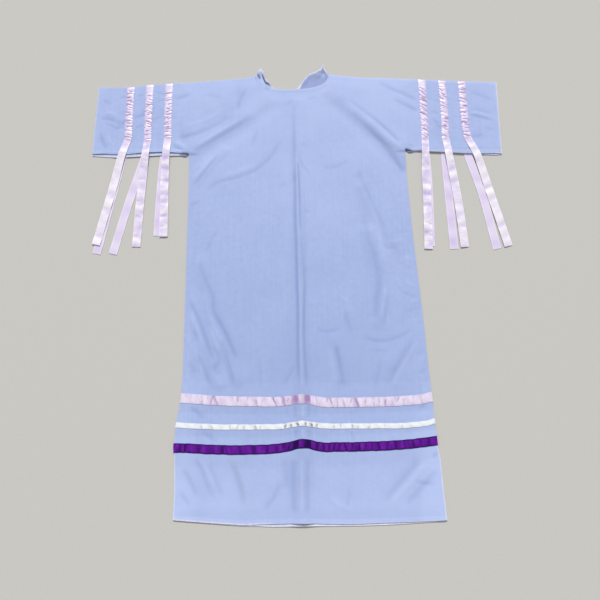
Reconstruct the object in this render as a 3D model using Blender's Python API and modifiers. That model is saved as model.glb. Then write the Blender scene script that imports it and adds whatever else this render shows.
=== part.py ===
"""A powwow dress of plain blue cloth, trimmed with ribbons, laid flat on the floor.

The neck is towards +Y and the hem towards -Y. The front lies upwards. Left and right are as seen
from above. The origin is in the middle of the dress, on the floor. Tables are in millimetres.
"""

import math
import random
from typing import NamedTuple

import bmesh
import bpy

MM = 0.001

# Cloth, ribbon and the gap that neighbouring pieces keep.
WALL = 1.2
RIBBON = 1.0
GAP = 0.3
SLOPE_ALLOWANCE = 0.1
PANEL_STEP = WALL + SLOPE_ALLOWANCE + GAP
UNDERLAY_RAISE = RIBBON + GAP
SIDE_RAMP = 8.0
SLEEVE_RAMP = 14.0
FRONT_PITCH = 20.0
BACK_PITCH = 60.0
FRONT_CREASE_COLUMNS = (-40.0, -20.0, -9.0, 0.0, 9.0, 20.0, 40.0)
BACK_CREASE_COLUMNS = (-40.0, -20.0, 0.0, 20.0, 40.0)
RAMP_CLEARANCE = 1.0

# The neckline of the front: half of a flattened ellipse.
NECK_MIDDLE = -14.0
NECK_HALF_WIDTH = 102.0
NECK_TOP = 590.0
NECK_DEPTH = 46.0
NECK_SQUARENESS = 2.6

# Soft form of the upper layer.
BILLOW = 1.6
BILLOW_RUN = 40.0
SLEEVE_START = 330.0
OPEN_EDGE_LIFT = 3.0
OPEN_EDGE_RUN = 22.0
NECK_LIFT = 1.6
NECK_LIFT_RUN = 28.0
CREASE_PEAK_WIDTH = 35.0

# Sleeve ribbons.
RIBBON_WIDTH = 22.0
TACK_WIDTH = 18.5
TAIL_CLEARANCE = 1.0
TAIL_DROP = 34.0
TAIL_WAVE = 2.2
TAIL_WAVE_LENGTH = 34.0
GATHERS = 13
PUFF = 2.0
GATHER_SLANT = 2.2
RIBBON_CROWN = 0.22
BAND_CROWN = 0.3
BACK_BAND_STEPS = 16
BACK_TAIL_STEPS = 10


class Point(NamedTuple):
    """A place on the floor plan."""

    x: float
    y: float


class Row(NamedTuple):
    """A line across the skirt: its two ends, the sag between them and its peak at the crease."""

    left_y: float
    right_y: float
    sag: float
    peak: float

    def moved(self, offset):
        """The same line, further up the skirt."""
        return Row(self.left_y + offset, self.right_y + offset, self.sag, self.peak)


class Column(NamedTuple):
    """A line down a panel: where it crosses the armpit line and where it reaches the top edge."""

    armpit_x: float
    top_x: float


class Steps(NamedTuple):
    """How many rows a panel has down to the chest, to the first band, between bands and to the hem."""

    chest: int
    waist: int
    between: int
    hem: int


class Band(NamedTuple):
    """A ribbon sewn round the skirt, with how far its puckers rise and how many it has."""

    name: str
    row: Row
    width: float
    puckers: int
    rise: float
    colour: str


class SleeveRibbon(NamedTuple):
    """A ribbon gathered over a sleeve and tacked down, with a loose tail in front and behind."""

    name: str
    x: float
    tack_x: float
    tack_y: float
    seed: int
    front_tail: tuple
    back_tail: tuple


class Fold(NamedTuple):
    """A soft ridge (or, below nought, a trough) between two places on the front."""

    x0: float
    y0: float
    x1: float
    y1: float
    bow: float
    half_width: float
    start: float
    end: float


class CreasePoint(NamedTuple):
    """One level of the long crease down the middle of the front."""

    y: float
    x: float
    half_width: float
    height: float


class LiftedPoint(NamedTuple):
    """A point of the back's neckline and how far it stands up from the floor."""

    x: float
    y: float
    lift: float


TOP_EDGE = (
    Point(-559.0, 558.5), Point(-514.0, 557.5), Point(-474.0, 557.0), Point(-446.0, 559.0),
    Point(-424.5, 563.0), Point(-364.5, 566.5), Point(-274.0, 572.0), Point(-189.0, 578.0),
    Point(-133.0, 583.5), Point(-116.0, 588.5), Point(88.0, 590.5), Point(122.0, 585.0),
    Point(179.0, 579.0), Point(263.0, 575.0), Point(351.0, 569.0), Point(407.0, 565.0),
    Point(463.0, 561.5), Point(517.0, 560.0), Point(561.6, 557.0),
)
FRONT_UNDERARM = (
    Point(-563.5, 351.5), Point(-527.0, 351.0), Point(-494.0, 348.5), Point(-465.0, 349.5),
    Point(-432.0, 354.5), Point(-371.0, 356.5), Point(-344.0, 354.5), Point(-320.0, 352.5),
    Point(-298.0, 349.5), Point(294.0, 354.0), Point(316.0, 350.5), Point(336.0, 351.0),
    Point(361.0, 347.0), Point(393.0, 345.0), Point(445.0, 341.0), Point(500.0, 338.5),
    Point(557.5, 337.0),
)
BACK_UNDERARM = (
    Point(-563.5, 348.0), Point(-528.0, 345.0), Point(-495.0, 342.0), Point(-466.0, 343.0),
    Point(-407.0, 345.5), Point(-376.0, 347.0), Point(-345.0, 345.5), Point(-317.0, 347.5),
    Point(-298.0, 349.5), Point(294.0, 354.0), Point(316.0, 350.5), Point(336.0, 351.0),
    Point(361.0, 347.0), Point(393.0, 345.0), Point(445.0, 341.0), Point(500.0, 337.0),
    Point(546.0, 334.5), Point(557.5, 338.0),
)
LEFT_SIDE = (
    Point(-298.0, 349.5), Point(-296.0, 245.0), Point(-296.0, -242.0), Point(-298.0, -316.0),
    Point(-305.0, -352.0), Point(-309.5, -389.0), Point(-312.0, -429.0), Point(-310.0, -460.0),
    Point(-307.5, -530.0), Point(-308.6, -597.5),
)
RIGHT_SIDE = (
    Point(294.0, 354.0), Point(293.5, 294.0), Point(298.6, 150.0), Point(303.0, 66.0),
    Point(313.0, -96.0), Point(320.0, -250.0), Point(325.0, -361.0), Point(329.0, -433.0),
    Point(335.0, -468.0), Point(337.4, -538.0), Point(341.0, -606.0),
)
BACK_NECK = (
    LiftedPoint(-116.0, 588.5, 0.0), LiftedPoint(-102.0, 611.0, 6.0), LiftedPoint(-95.0, 600.0, 6.0),
    LiftedPoint(-90.0, 582.0, 3.0), LiftedPoint(-79.0, 568.0, 1.5), LiftedPoint(-68.0, 551.0, 0.0),
    LiftedPoint(-54.0, 535.0, 0.0), LiftedPoint(-36.0, 528.0, 0.0), LiftedPoint(-17.0, 532.0, 0.0),
    LiftedPoint(0.0, 545.0, 0.0), LiftedPoint(18.0, 571.0, 2.0), LiftedPoint(34.0, 590.0, 4.0),
    LiftedPoint(57.0, 599.0, 5.0), LiftedPoint(67.0, 608.0, 6.5), LiftedPoint(74.5, 620.5, 8.0),
    LiftedPoint(80.0, 604.0, 4.0), LiftedPoint(88.0, 590.5, 0.0),
)
BACK_HEM_PEEK = (
    Point(-310.0, 0.0), Point(-125.0, 0.0), Point(-80.0, 4.5), Point(190.0, 5.0),
    Point(240.0, 0.0), Point(342.0, 0.0),
)

ARMPIT = Row(349.5, 354.0, 0.0, 0.0)
CHEST = Row(60.0, 60.0, 0.0, 0.0)
HEM = Row(-597.5, -606.0, -16.0, 0.0)
BANDS = (
    Band("skirt_ribbon_pink", Row(-311.8, -317.0, -7.5, 8.0), 23.5, 22, 1.6, "pink_satin"),
    Band("skirt_ribbon_white", Row(-376.7, -375.7, -8.0, 7.0), 12.7, 12, 0.7, "white_satin"),
    Band("skirt_ribbon_purple", Row(-431.6, -422.5, -12.5, 12.0), 22.5, 14, 1.1, "purple_satin"),
)

COLUMN_FAN = (
    Column(-298.0, -298.0), Column(-178.0, -178.0), Column(-150.0, -145.0), Column(-122.0, -116.0),
    Column(-94.0, -111.5), Column(-66.0, -101.0), Column(-40.0, -84.0), Column(-20.0, -62.0),
    Column(-9.0, -38.0), Column(0.0, -14.0), Column(9.0, 10.0), Column(20.0, 35.0),
    Column(40.0, 57.0), Column(66.0, 74.0), Column(94.0, 84.0), Column(122.0, 88.0),
    Column(150.0, 117.0), Column(178.0, 160.0), Column(208.0, 204.0), Column(238.0, 238.0),
    Column(294.0, 294.0),
)
LEFT_CUFF = (Column(-563.5, -559.0), Column(-538.0, -537.0))
RIGHT_CUFF = (Column(536.0, 537.0), Column(557.5, 561.6))
SLEEVE_SHELF = (333.0, 497.0)

FRONT_STEPS = Steps(chest=14, waist=15, between=2, hem=6)
BACK_STEPS = Steps(chest=3, waist=4, between=1, hem=2)

CREASE = (
    CreasePoint(485.0, -6.0, 12.0, 0.0), CreasePoint(420.0, -4.0, 13.0, 2.4),
    CreasePoint(350.0, 0.0, 14.0, 3.8), CreasePoint(211.0, 6.5, 15.0, 4.2),
    CreasePoint(98.0, 7.5, 16.0, 4.4), CreasePoint(-12.0, 7.0, 18.0, 4.8),
    CreasePoint(-144.0, 6.5, 23.0, 5.2), CreasePoint(-296.0, 4.0, 30.0, 6.2),
    CreasePoint(-440.0, 2.0, 32.0, 6.4), CreasePoint(-617.0, 0.0, 34.0, 6.0),
)
FOLDS = (
    Fold(-292.0, 372.0, -92.0, 515.0, -9.0, 30.0, 3.6, 3.2),
    Fold(-280.0, 338.0, -66.0, 492.0, -9.0, 28.0, -1.6, -1.4),
    Fold(92.0, 530.0, 280.0, 368.0, -8.0, 32.0, 2.8, 3.6),
    Fold(110.0, 490.0, 272.0, 318.0, -8.0, 30.0, -1.6, -1.6),
    Fold(-257.0, 34.0, -152.0, -266.0, -8.0, 30.0, 2.2, 3.4),
    Fold(-286.0, -64.0, -221.0, -222.0, -6.0, 26.0, 2.4, 2.4),
    Fold(-270.0, -198.0, -206.0, -280.0, -5.0, 24.0, 2.0, 2.2),
    Fold(-285.0, 249.0, -205.0, 356.0, 4.0, 26.0, 1.8, 2.4),
    Fold(171.0, 245.0, 262.0, 72.0, -5.0, 30.0, 3.0, 2.4),
    Fold(176.0, 114.0, 194.0, -124.0, 12.0, 30.0, 2.8, 2.4),
    Fold(89.0, -172.0, 98.0, -268.0, 3.0, 28.0, 2.2, 2.8),
    Fold(236.0, -236.0, 302.0, -148.0, -4.0, 28.0, 2.2, 2.4),
)

SLEEVE_RIBBONS = (
    SleeveRibbon("left_outer_ribbon", -467.0, -466.5, 396.5, 3,
                 (Point(-482.5, 344.0), Point(-496.0, 277.0), Point(-514.5, 190.0), Point(-536.5, 92.0)),
                 (Point(-480.0, 344.0), Point(-492.5, 277.0), Point(-509.5, 190.0), Point(-533.5, 67.0))),
    SleeveRibbon("left_middle_ribbon", -413.5, -413.0, 390.5, 5,
                 (Point(-417.5, 344.0), Point(-421.0, 290.0), Point(-425.5, 210.0), Point(-430.0, 85.0)),
                 (Point(-419.5, 344.0), Point(-434.5, 288.0), Point(-457.0, 207.0), Point(-491.0, 66.0))),
    SleeveRibbon("left_inner_ribbon", -358.5, -357.5, 399.5, 8,
                 (Point(-361.0, 344.0), Point(-362.0, 300.0), Point(-361.0, 210.0), Point(-359.0, 112.0)),
                 (Point(-366.0, 344.0), Point(-370.0, 290.0), Point(-373.0, 210.0), Point(-375.0, 115.0))),
    SleeveRibbon("right_inner_ribbon", 350.4, 350.0, 387.0, 13,
                 (Point(348.0, 335.0), Point(346.5, 290.0), Point(344.5, 192.0), Point(340.0, 68.0)),
                 (Point(350.0, 335.0), Point(351.0, 290.0), Point(350.0, 192.0), Point(346.0, 76.0))),
    SleeveRibbon("right_middle_ribbon", 407.0, 406.0, 386.0, 21,
                 (Point(412.5, 335.0), Point(418.0, 290.0), Point(427.0, 210.0), Point(436.0, 72.0)),
                 (Point(401.0, 335.0), Point(402.0, 290.0), Point(404.0, 205.0), Point(408.0, 67.0))),
    SleeveRibbon("right_outer_ribbon", 463.0, 466.5, 387.5, 34,
                 (Point(489.0, 335.0), Point(500.5, 290.0), Point(519.0, 210.0), Point(551.0, 73.0)),
                 (Point(466.0, 335.0), Point(477.5, 290.0), Point(496.0, 213.0), Point(520.5, 65.5))),
)

COLOURS = {
    "blue_cloth": ((0.397, 0.497, 0.783, 1.0), 0.86),
    "lilac_satin": ((0.686, 0.600, 0.815, 1.0), 0.42),
    "pink_satin": ((0.686, 0.610, 0.823, 1.0), 0.45),
    "white_satin": ((0.820, 0.860, 0.930, 1.0), 0.48),
    "purple_satin": ((0.125, 0.013, 0.279, 1.0), 0.40),
}


def smooth(t):
    """A soft step from 0 to 1."""
    t = min(1.0, max(0.0, t))
    return t * t * (3.0 - 2.0 * t)


def mix(a, b, t):
    """The value a share t of the way from a to b."""
    return a + (b - a) * t


def read(table, key, value, at):
    """The straight-line reading of one named column of a table at a value of another."""
    rows = sorted(table, key=lambda row: getattr(row, key))
    at = min(max(at, getattr(rows[0], key)), getattr(rows[-1], key))
    for low, high in zip(rows, rows[1:]):
        if at <= getattr(high, key):
            share = (at - getattr(low, key)) / (getattr(high, key) - getattr(low, key))
            return mix(getattr(low, value), getattr(high, value), share)
    return getattr(rows[-1], value)


def mixed_row(a, b, t):
    """The line a share t of the way from row a to row b."""
    return Row(*(mix(p, q, t) for p, q in zip(a, b)))


def row_point(row, share):
    """A point of a row, from -1 at the left side, through 0 at the crease, to 1 at the right."""
    left_x = read(LEFT_SIDE, "y", "x", row.left_y)
    right_x = read(RIGHT_SIDE, "y", "x", row.right_y)
    middle = read(CREASE, "y", "x", (row.left_y + row.right_y) / 2)
    x = mix(middle, left_x, -share) if share < 0 else mix(middle, right_x, share)
    return Point(x, row_y(row, x, left_x, right_x))


def row_y(row, x, left_x, right_x):
    """How far up the skirt a row lies at x."""
    along = (x - left_x) / (right_x - left_x)
    bulge = 1.0 - (2.0 * along - 1.0) ** 2
    middle = read(CREASE, "y", "x", (row.left_y + row.right_y) / 2)
    peak = row.peak * math.exp(-(((x - middle) / CREASE_PEAK_WIDTH) ** 2))
    return mix(row.left_y, row.right_y, along) + row.sag * bulge + peak


def row_y_at(row, x):
    """How far up the skirt a row lies at x, from its own two ends."""
    return row_y(row, x, read(LEFT_SIDE, "y", "x", row.left_y), read(RIGHT_SIDE, "y", "x", row.right_y))


def front_top(x):
    """The front's top edge: the shoulder line, with the neckline cut out of it."""
    t = abs(x - NECK_MIDDLE) / NECK_HALF_WIDTH
    if t < 1.0:
        return NECK_TOP - NECK_DEPTH * (1.0 - t**NECK_SQUARENESS) ** (1.0 / NECK_SQUARENESS)
    return read(TOP_EDGE, "x", "y", x)


def back_top(x):
    """The back's top edge, with its neckline."""
    if BACK_NECK[0].x < x < BACK_NECK[-1].x:
        return read(BACK_NECK, "x", "y", x)
    return read(TOP_EDGE, "x", "y", x)


def band_raise(x, y):
    """How far the ribbons behind the skirt lift the back from the floor."""
    height = 0.0
    for band in BANDS:
        away = abs(y - row_y_at(band.row, x)) - band.width / 2 - RAMP_CLEARANCE
        height = max(height, UNDERLAY_RAISE * (1.0 - min(1.0, max(0.0, away / SIDE_RAMP))))
    return height


def shelf_raise(x):
    """How far the ribbons behind a sleeve lift it from the floor."""
    inner, outer = SLEEVE_SHELF
    away = max(inner - abs(x), abs(x) - outer, 0.0)
    return UNDERLAY_RAISE * (1.0 - min(1.0, away / SLEEVE_RAMP))


def neck_curl(x, y):
    """How far the back's neck edge curls up, which fades away from that edge."""
    if not BACK_NECK[0].x < x < BACK_NECK[-1].x:
        return 0.0
    lift = read(BACK_NECK, "x", "lift", x)
    return lift * smooth(1.0 - (back_top(x) - y) / NECK_LIFT_RUN)


def back_under(x, y):
    """The height of the back's underside."""
    if y < read(BACK_UNDERARM, "x", "y", x) - BILLOW_RUN:
        return band_raise(x, y)
    return shelf_raise(x) + neck_curl(x, y)


def fold_height(fold, x, y):
    """What one fold adds to the front at a point."""
    run_x, run_y = fold.x1 - fold.x0, fold.y1 - fold.y0
    length = math.hypot(run_x, run_y)
    along = ((x - fold.x0) * run_x + (y - fold.y0) * run_y) / length
    across = ((y - fold.y0) * run_x - (x - fold.x0) * run_y) / length
    t = min(1.0, max(0.0, along / length))
    away = abs(across - fold.bow * 4.0 * t * (1.0 - t))
    past_end = max(0.0, -along, along - length)
    if away >= fold.half_width:
        return 0.0
    profile = math.cos(0.5 * math.pi * away / fold.half_width) ** 2
    return mix(fold.start, fold.end, t) * profile * smooth(1.0 - past_end / fold.half_width)


def crease_height(x, y):
    """What the long crease adds to the front at a point."""
    away = abs(x - read(CREASE, "y", "x", y)) / read(CREASE, "y", "half_width", y)
    if away >= 1.0:
        return 0.0
    return read(CREASE, "y", "height", y) * math.cos(0.5 * math.pi * away) ** 2


def seam_distance(x, y):
    """How far a point of the front's body lies from its nearest seam or edge."""
    sides = (
        x - read(LEFT_SIDE, "y", "x", y),
        read(RIGHT_SIDE, "y", "x", y) - x,
        y - row_y_at(HEM, x),
        front_top(x) - y,
    )
    if y > ARMPIT.left_y:
        return min(SLEEVE_START - abs(x), sides[3])
    return min(sides)


def soft_form(x, y):
    """The front's billow, folds and long crease at a point."""
    inside = smooth(seam_distance(x, y) / BILLOW_RUN)
    folds = sum(fold_height(fold, x, y) for fold in FOLDS)
    return max(0.0, inside * (BILLOW + folds) + crease_height(x, y))


def edge_lift(x, y):
    """How far the front's open edges, under the sleeves and at the neck, stand up."""
    height = 0.0
    if abs(x) > COLUMN_FAN[-1].armpit_x:
        above = y - read(FRONT_UNDERARM, "x", "y", x)
        reach = smooth((abs(x) - COLUMN_FAN[-1].armpit_x) / OPEN_EDGE_RUN)
        height = OPEN_EDGE_LIFT * reach * smooth(1.0 - above / OPEN_EDGE_RUN)
    if abs(x - NECK_MIDDLE) < NECK_HALF_WIDTH:
        height += NECK_LIFT * smooth(1.0 - (front_top(x) - y) / NECK_LIFT_RUN)
    return height


def front_under(x, y):
    """The height of the front's underside."""
    return back_under(x, y) + PANEL_STEP + soft_form(x, y) + edge_lift(x, y)


def sleeve_columns(side):
    """The columns of one sleeve, at its ribbons' edges and where its shelf starts and ends."""
    inner, outer = SLEEVE_SHELF
    places = [inner - SLEEVE_RAMP, inner, outer, outer + SLEEVE_RAMP]
    for ribbon in SLEEVE_RIBBONS:
        if ribbon.x * side > 0:
            middle = abs(ribbon.x)
            places += [middle - RIBBON_WIDTH / 2, middle + RIBBON_WIDTH / 2]
    cuff = RIGHT_CUFF if side > 0 else LEFT_CUFF
    columns = [Column(side * place, side * place) for place in places] + list(cuff)
    return sorted(columns)


def body_columns(pitch, crease_columns):
    """The columns between the armpits: set ones at the crease, and evenly on to each side."""
    places = list(crease_columns)
    for side in (COLUMN_FAN[0].armpit_x, COLUMN_FAN[-1].armpit_x):
        start = crease_columns[0] if side < 0 else crease_columns[-1]
        steps = round(abs(side - start) / pitch)
        places += [mix(start, side, (i + 1) / steps) for i in range(steps)]
    return [Column(x, read(COLUMN_FAN, "armpit_x", "top_x", x)) for x in sorted(places)]


def upper_rows(columns, underarm, top, shares, steps_up=()):
    """Rows from the underarm edge to the top edge: some at fixed steps up, the rest by share."""
    rows = []
    start = steps_up[-1] if steps_up else 0.0
    for step in (0.0,) + tuple(steps_up):
        rows.append([Point(c.armpit_x, read(underarm, "x", "y", c.armpit_x) + step) for c in columns])
    for share in shares:
        row = []
        for column in columns:
            x = mix(column.armpit_x, column.top_x, smooth(share))
            low = read(underarm, "x", "y", column.armpit_x) + start
            row.append(Point(x, mix(low, top(column.top_x), share)))
        rows.append(row)
    return rows


def skirt_rows(chest_steps, waist_steps, between_steps, hem_steps):
    """The lines across the skirt, from just under the armpits to the hem."""
    rows = [mixed_row(ARMPIT, CHEST, (i + 1) / chest_steps) for i in range(chest_steps)]
    steps = waist_steps
    for band in BANDS:
        flat = band.width / 2 + RAMP_CLEARANCE
        first = band.row.moved(flat + SIDE_RAMP)
        rows += [mixed_row(rows[-1], first, (i + 1) / steps) for i in range(steps)]
        rows += [band.row.moved(flat), band.row.moved(-flat), band.row.moved(-flat - SIDE_RAMP)]
        steps = between_steps
    last = rows[-1]
    return rows + [mixed_row(last, HEM, (i + 1) / hem_steps) for i in range(hem_steps)]


def column_shares(columns):
    """Where each body column lies on a skirt row, from -1 at the left side to 1 at the right."""
    left, right = columns[0].armpit_x, columns[-1].armpit_x
    return [-c.armpit_x / left if c.armpit_x < 0 else c.armpit_x / right for c in columns]


def zipped(low, high, points):
    """Triangles, facing up, between two rows of point numbers that run from left to right."""
    faces = []
    i = j = 0
    even = len(low) == len(high)
    while i < len(low) - 1 or j < len(high) - 1:
        if i == len(low) - 1 or j == len(high) - 1:
            on_low = j == len(high) - 1
        elif even and i != j:
            on_low = i < j
        elif even:
            # A cell is cut along its more level diagonal, which keeps a fold's crest whole.
            rising = abs(points[low[i]][2] - points[high[j + 1]][2])
            falling = abs(points[low[i + 1]][2] - points[high[j]][2])
            on_low = falling < rising
        else:
            on_low = points[low[i + 1]][0] < points[high[j + 1]][0]
        if on_low:
            faces.append((low[i], low[i + 1], high[j]))
            i += 1
        else:
            faces.append((low[i], high[j + 1], high[j]))
            j += 1
    return faces


class Panel:
    """A panel of the dress: a surface through rows, which keeps its rows for what lies on it."""

    def __init__(self, height):
        self.height = height
        self.points = []
        self.faces = []

    def add_row(self, plan):
        """Puts a row of plan points at their height and gives their numbers."""
        start = len(self.points)
        self.points += [(p.x, p.y, self.height(p.x, p.y)) for p in plan]
        return list(range(start, len(self.points)))

    def join(self, low, high):
        """Fills the strip between two rows."""
        self.faces += zipped(low, high, self.points)

    def reading(self, numbers, x):
        """The height of a row's own line at x."""
        row = [self.points[n] for n in numbers]
        x = min(max(x, row[0][0]), row[-1][0])
        for a, b in zip(row, row[1:]):
            if x <= b[0]:
                return mix(a[2], b[2], (x - a[0]) / (b[0] - a[0]))
        return row[-1][2]


def build_panel(height, upper, skirt_plan, body):
    """A whole panel from its upper rows and its skirt rows. body picks the underarm row's middle."""
    panel = Panel(height)
    rows = [panel.add_row(plan) for plan in upper]
    for low, high in zip(rows, rows[1:]):
        panel.join(low, high)
    above = rows[0][body]
    skirt = []
    for plan in skirt_plan:
        row = panel.add_row(plan)
        panel.join(row, above)
        skirt.append(row)
        above = row
    return panel, skirt


def front_panel():
    """The front, with the lines of its skirt."""
    left, right = sleeve_columns(-1), sleeve_columns(1)
    middle = body_columns(FRONT_PITCH, FRONT_CREASE_COLUMNS)
    steps = 10
    shares = [(i + 1) / steps for i in range(steps)]
    steps_up = (OPEN_EDGE_RUN / 3, OPEN_EDGE_RUN)
    upper = upper_rows(left + middle + right, FRONT_UNDERARM, front_top, shares, steps_up)
    body = slice(len(left), len(left) + len(middle))
    lines = skirt_rows(*FRONT_STEPS)
    plan = [[row_point(row, share) for share in column_shares(middle)] for row in lines]
    return build_panel(front_under, upper, plan, body)


def back_panel():
    """The back, whose neckline shows above the front's and whose hem shows below it."""
    left, right = sleeve_columns(-1), sleeve_columns(1)
    middle = body_columns(BACK_PITCH, BACK_CREASE_COLUMNS)
    upper = upper_rows(left + middle + right, BACK_UNDERARM, back_top, (0.35, 0.65, 0.88, 1.0))
    neck = [Point(p.x, p.y) for p in BACK_NECK]
    shoulders = [p for p in upper[-1] if not neck[0].x <= p.x <= neck[-1].x]
    upper[-1] = sorted(shoulders + neck)
    body = slice(len(left), len(left) + len(middle))
    lines = skirt_rows(*BACK_STEPS)
    plan = [[row_point(row, share) for share in column_shares(middle)] for row in lines]
    plan[-1] = [Point(p.x, p.y - read(BACK_HEM_PEEK, "x", "y", p.x)) for p in plan[-1]]
    return build_panel(back_under, upper, plan, body)


def add_object(name, mesh, colour, collection):
    """An object for a finished mesh, in the dress's collection."""
    mesh.materials.append(bpy.data.materials[colour])
    thing = bpy.data.objects.new(name, mesh)
    collection.objects.link(thing)
    return thing


def add_wall(name, panel, colour, collection):
    """A panel's surface as a cloth wall: its points are the underside."""
    mesh = bpy.data.meshes.new(name)
    points = [tuple(MM * value for value in point) for point in panel.points]
    mesh.from_pydata(points, [], panel.faces)
    mesh.update()
    thing = add_object(name, mesh, colour, collection)
    wall = thing.modifiers.new("wall", "SOLIDIFY")
    wall.thickness = WALL * MM
    wall.offset = 1.0
    return thing


def add_loft(name, rings, colour, collection):
    """A closed strip through rings of points that each run the same way round."""
    shape = bmesh.new()
    loops = [[shape.verts.new([MM * value for value in point]) for point in ring] for ring in rings]
    for loop, after in zip(loops, loops[1:]):
        for k in range(len(loop)):
            n = (k + 1) % len(loop)
            shape.faces.new((loop[k], loop[n], after[n], after[k]))
    shape.faces.new(loops[0])
    shape.faces.new(loops[-1])
    bmesh.ops.recalc_face_normals(shape, faces=shape.faces)
    mesh = bpy.data.meshes.new(name)
    shape.to_mesh(mesh)
    shape.free()
    return add_object(name, mesh, colour, collection)


def band_places(panel, row, puckers):
    """Where a band's rings stand: at each column of its panel and evenly between, for puckers."""
    columns = [panel.points[n][0] for n in row]
    pitch = (columns[-1] - columns[0]) / (2 * puckers)
    places = [columns[0]]
    for start, end in zip(columns, columns[1:]):
        steps = max(1, round((end - start) / pitch))
        places += [mix(start, end, (i + 1) / steps) for i in range(steps)]
    return places


def band_ring(band, panel, rows, x, outer):
    """A ring of a band across the panel at x: two inner points and four outer ones."""
    upper, lower = rows
    middle = row_y_at(band.row, x)
    low_y, high_y = middle - band.width / 2, middle + band.width / 2
    low_z = panel.reading(lower, x) + PANEL_STEP
    high_z = panel.reading(upper, x) + PANEL_STEP
    crown = []
    for share, rise in ((1.0 - BAND_CROWN, outer[1]), (BAND_CROWN, outer[0])):
        crown.append((x, mix(low_y, high_y, share), mix(low_z, high_z, share) + RIBBON + rise))
    inner = [(x, low_y, low_z), (x, high_y, high_z)]
    return inner + [(x, high_y, high_z + RIBBON)] + crown + [(x, low_y, low_z + RIBBON)]


def side_ring(ring, side, panel, rows):
    """A band's ring where it turns down over the dress's side, its inner points off the edge."""
    end = 0 if side < 0 else -1
    high, low = (panel.points[row[end]] for row in rows)
    turned = []
    for number, (_, y, z) in enumerate(ring):
        edge = mix(low[0], high[0], (y - low[1]) / (high[1] - low[1]))
        away = GAP if number < 2 else GAP + RIBBON
        turned.append((edge + side * away, y, z))
    return turned


def front_band(band, panel, rows):
    """The rings of a band on the front, from over the left side to over the right side."""
    draw = random.Random(len(band.name))
    places = band_places(panel, rows[0], band.puckers)
    rings = []
    for number, x in enumerate(places):
        up = band.rise * draw.uniform(0.45, 1.0) * (number % 2)
        down = band.rise * draw.uniform(0.45, 1.0) * (number % 2)
        rings.append(band_ring(band, panel, rows, x, (up, down)))
    for side in (-1, 1):
        edge = band_ring(band, panel, rows, places[0] if side < 0 else places[-1], (0.0, 0.0))
        corner = side_ring(edge, side, panel, rows)
        foot = [(x, y, UNDERLAY_RAISE) for x, y, _ in corner]
        if side < 0:
            rings = [foot, corner] + rings[1:]
        else:
            rings = rings[:-1] + [corner, foot]
    return rings


def back_band(band):
    """The rings of a band behind the skirt, flat on the floor."""
    reach = GAP + RIBBON
    left = read(LEFT_SIDE, "y", "x", band.row.left_y) - reach
    right = read(RIGHT_SIDE, "y", "x", band.row.right_y) + reach
    rings = []
    for i in range(BACK_BAND_STEPS + 1):
        x = mix(left, right, i / BACK_BAND_STEPS)
        y = row_y_at(band.row, x)
        half = band.width / 2
        rings.append([(x, y - half, 0.0), (x, y + half, 0.0), (x, y + half, RIBBON), (x, y - half, RIBBON)])
    return rings


def curve_x(path, y):
    """The x of a smooth line through a tail's points at y, by cubic pieces."""
    for k in range(len(path) - 1):
        if y >= path[k + 1].y or k == len(path) - 2:
            break
    start, end = path[k], path[k + 1]
    before = path[max(0, k - 1)]
    after = path[min(len(path) - 1, k + 2)]
    run = end.y - start.y
    slope_in = (end.x - before.x) / (end.y - before.y)
    slope_out = (after.x - start.x) / (after.y - start.y)
    t = (y - start.y) / run
    keep_start = 2 * t**3 - 3 * t**2 + 1
    keep_end = 3 * t**2 - 2 * t**3
    bend = (t**3 - 2 * t**2 + t) * run * slope_in + (t**3 - t**2) * run * slope_out
    return keep_start * start.x + keep_end * end.x + bend


def tail_frame(path, y):
    """A tail's middle at y and its unit direction across, towards +X."""
    step = 1.0
    slope = (curve_x(path, y - step) - curve_x(path, y + step)) / (2.0 * step)
    length = math.hypot(1.0, slope)
    return Point(curve_x(path, y), y), Point(1.0 / length, slope / length)


def strip_ring(middle, across, width, inner_z, puffs, rim=0.0, slant=0.0):
    """A ring of a ribbon: two inner points, then four outer ones, raised by puffs and slanted."""
    def place(share, z, on=0.0):
        return (middle.x + across.x * width * share, middle.y + across.y * width * share + on, z)
    outer = inner_z + RIBBON
    return [
        place(-0.5, inner_z), place(0.5, inner_z), place(0.5, outer + rim),
        place(RIBBON_CROWN, outer + puffs[1], -slant), place(-RIBBON_CROWN, outer + puffs[0], slant),
        place(-0.5, outer + rim),
    ]


def wrap_rings(ribbon):
    """The first rings of a sleeve ribbon, where it comes up round the shoulder seam."""
    left, right = ribbon.x - RIBBON_WIDTH / 2, ribbon.x + RIBBON_WIDTH / 2
    top = front_under(ribbon.x, front_top(ribbon.x)) + PANEL_STEP
    rings = []
    for inner_z, outer_z in ((UNDERLAY_RAISE, UNDERLAY_RAISE), (top, top + RIBBON)):
        inner = [(x, front_top(x) + GAP, inner_z) for x in (left, right)]
        outer = []
        for share in (1.0, 0.5 + RIBBON_CROWN, 0.5 - RIBBON_CROWN, 0.0):
            x = mix(left, right, share)
            outer.append((x, front_top(x) + GAP + RIBBON, outer_z))
        rings.append(inner + outer)
    return rings


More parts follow.
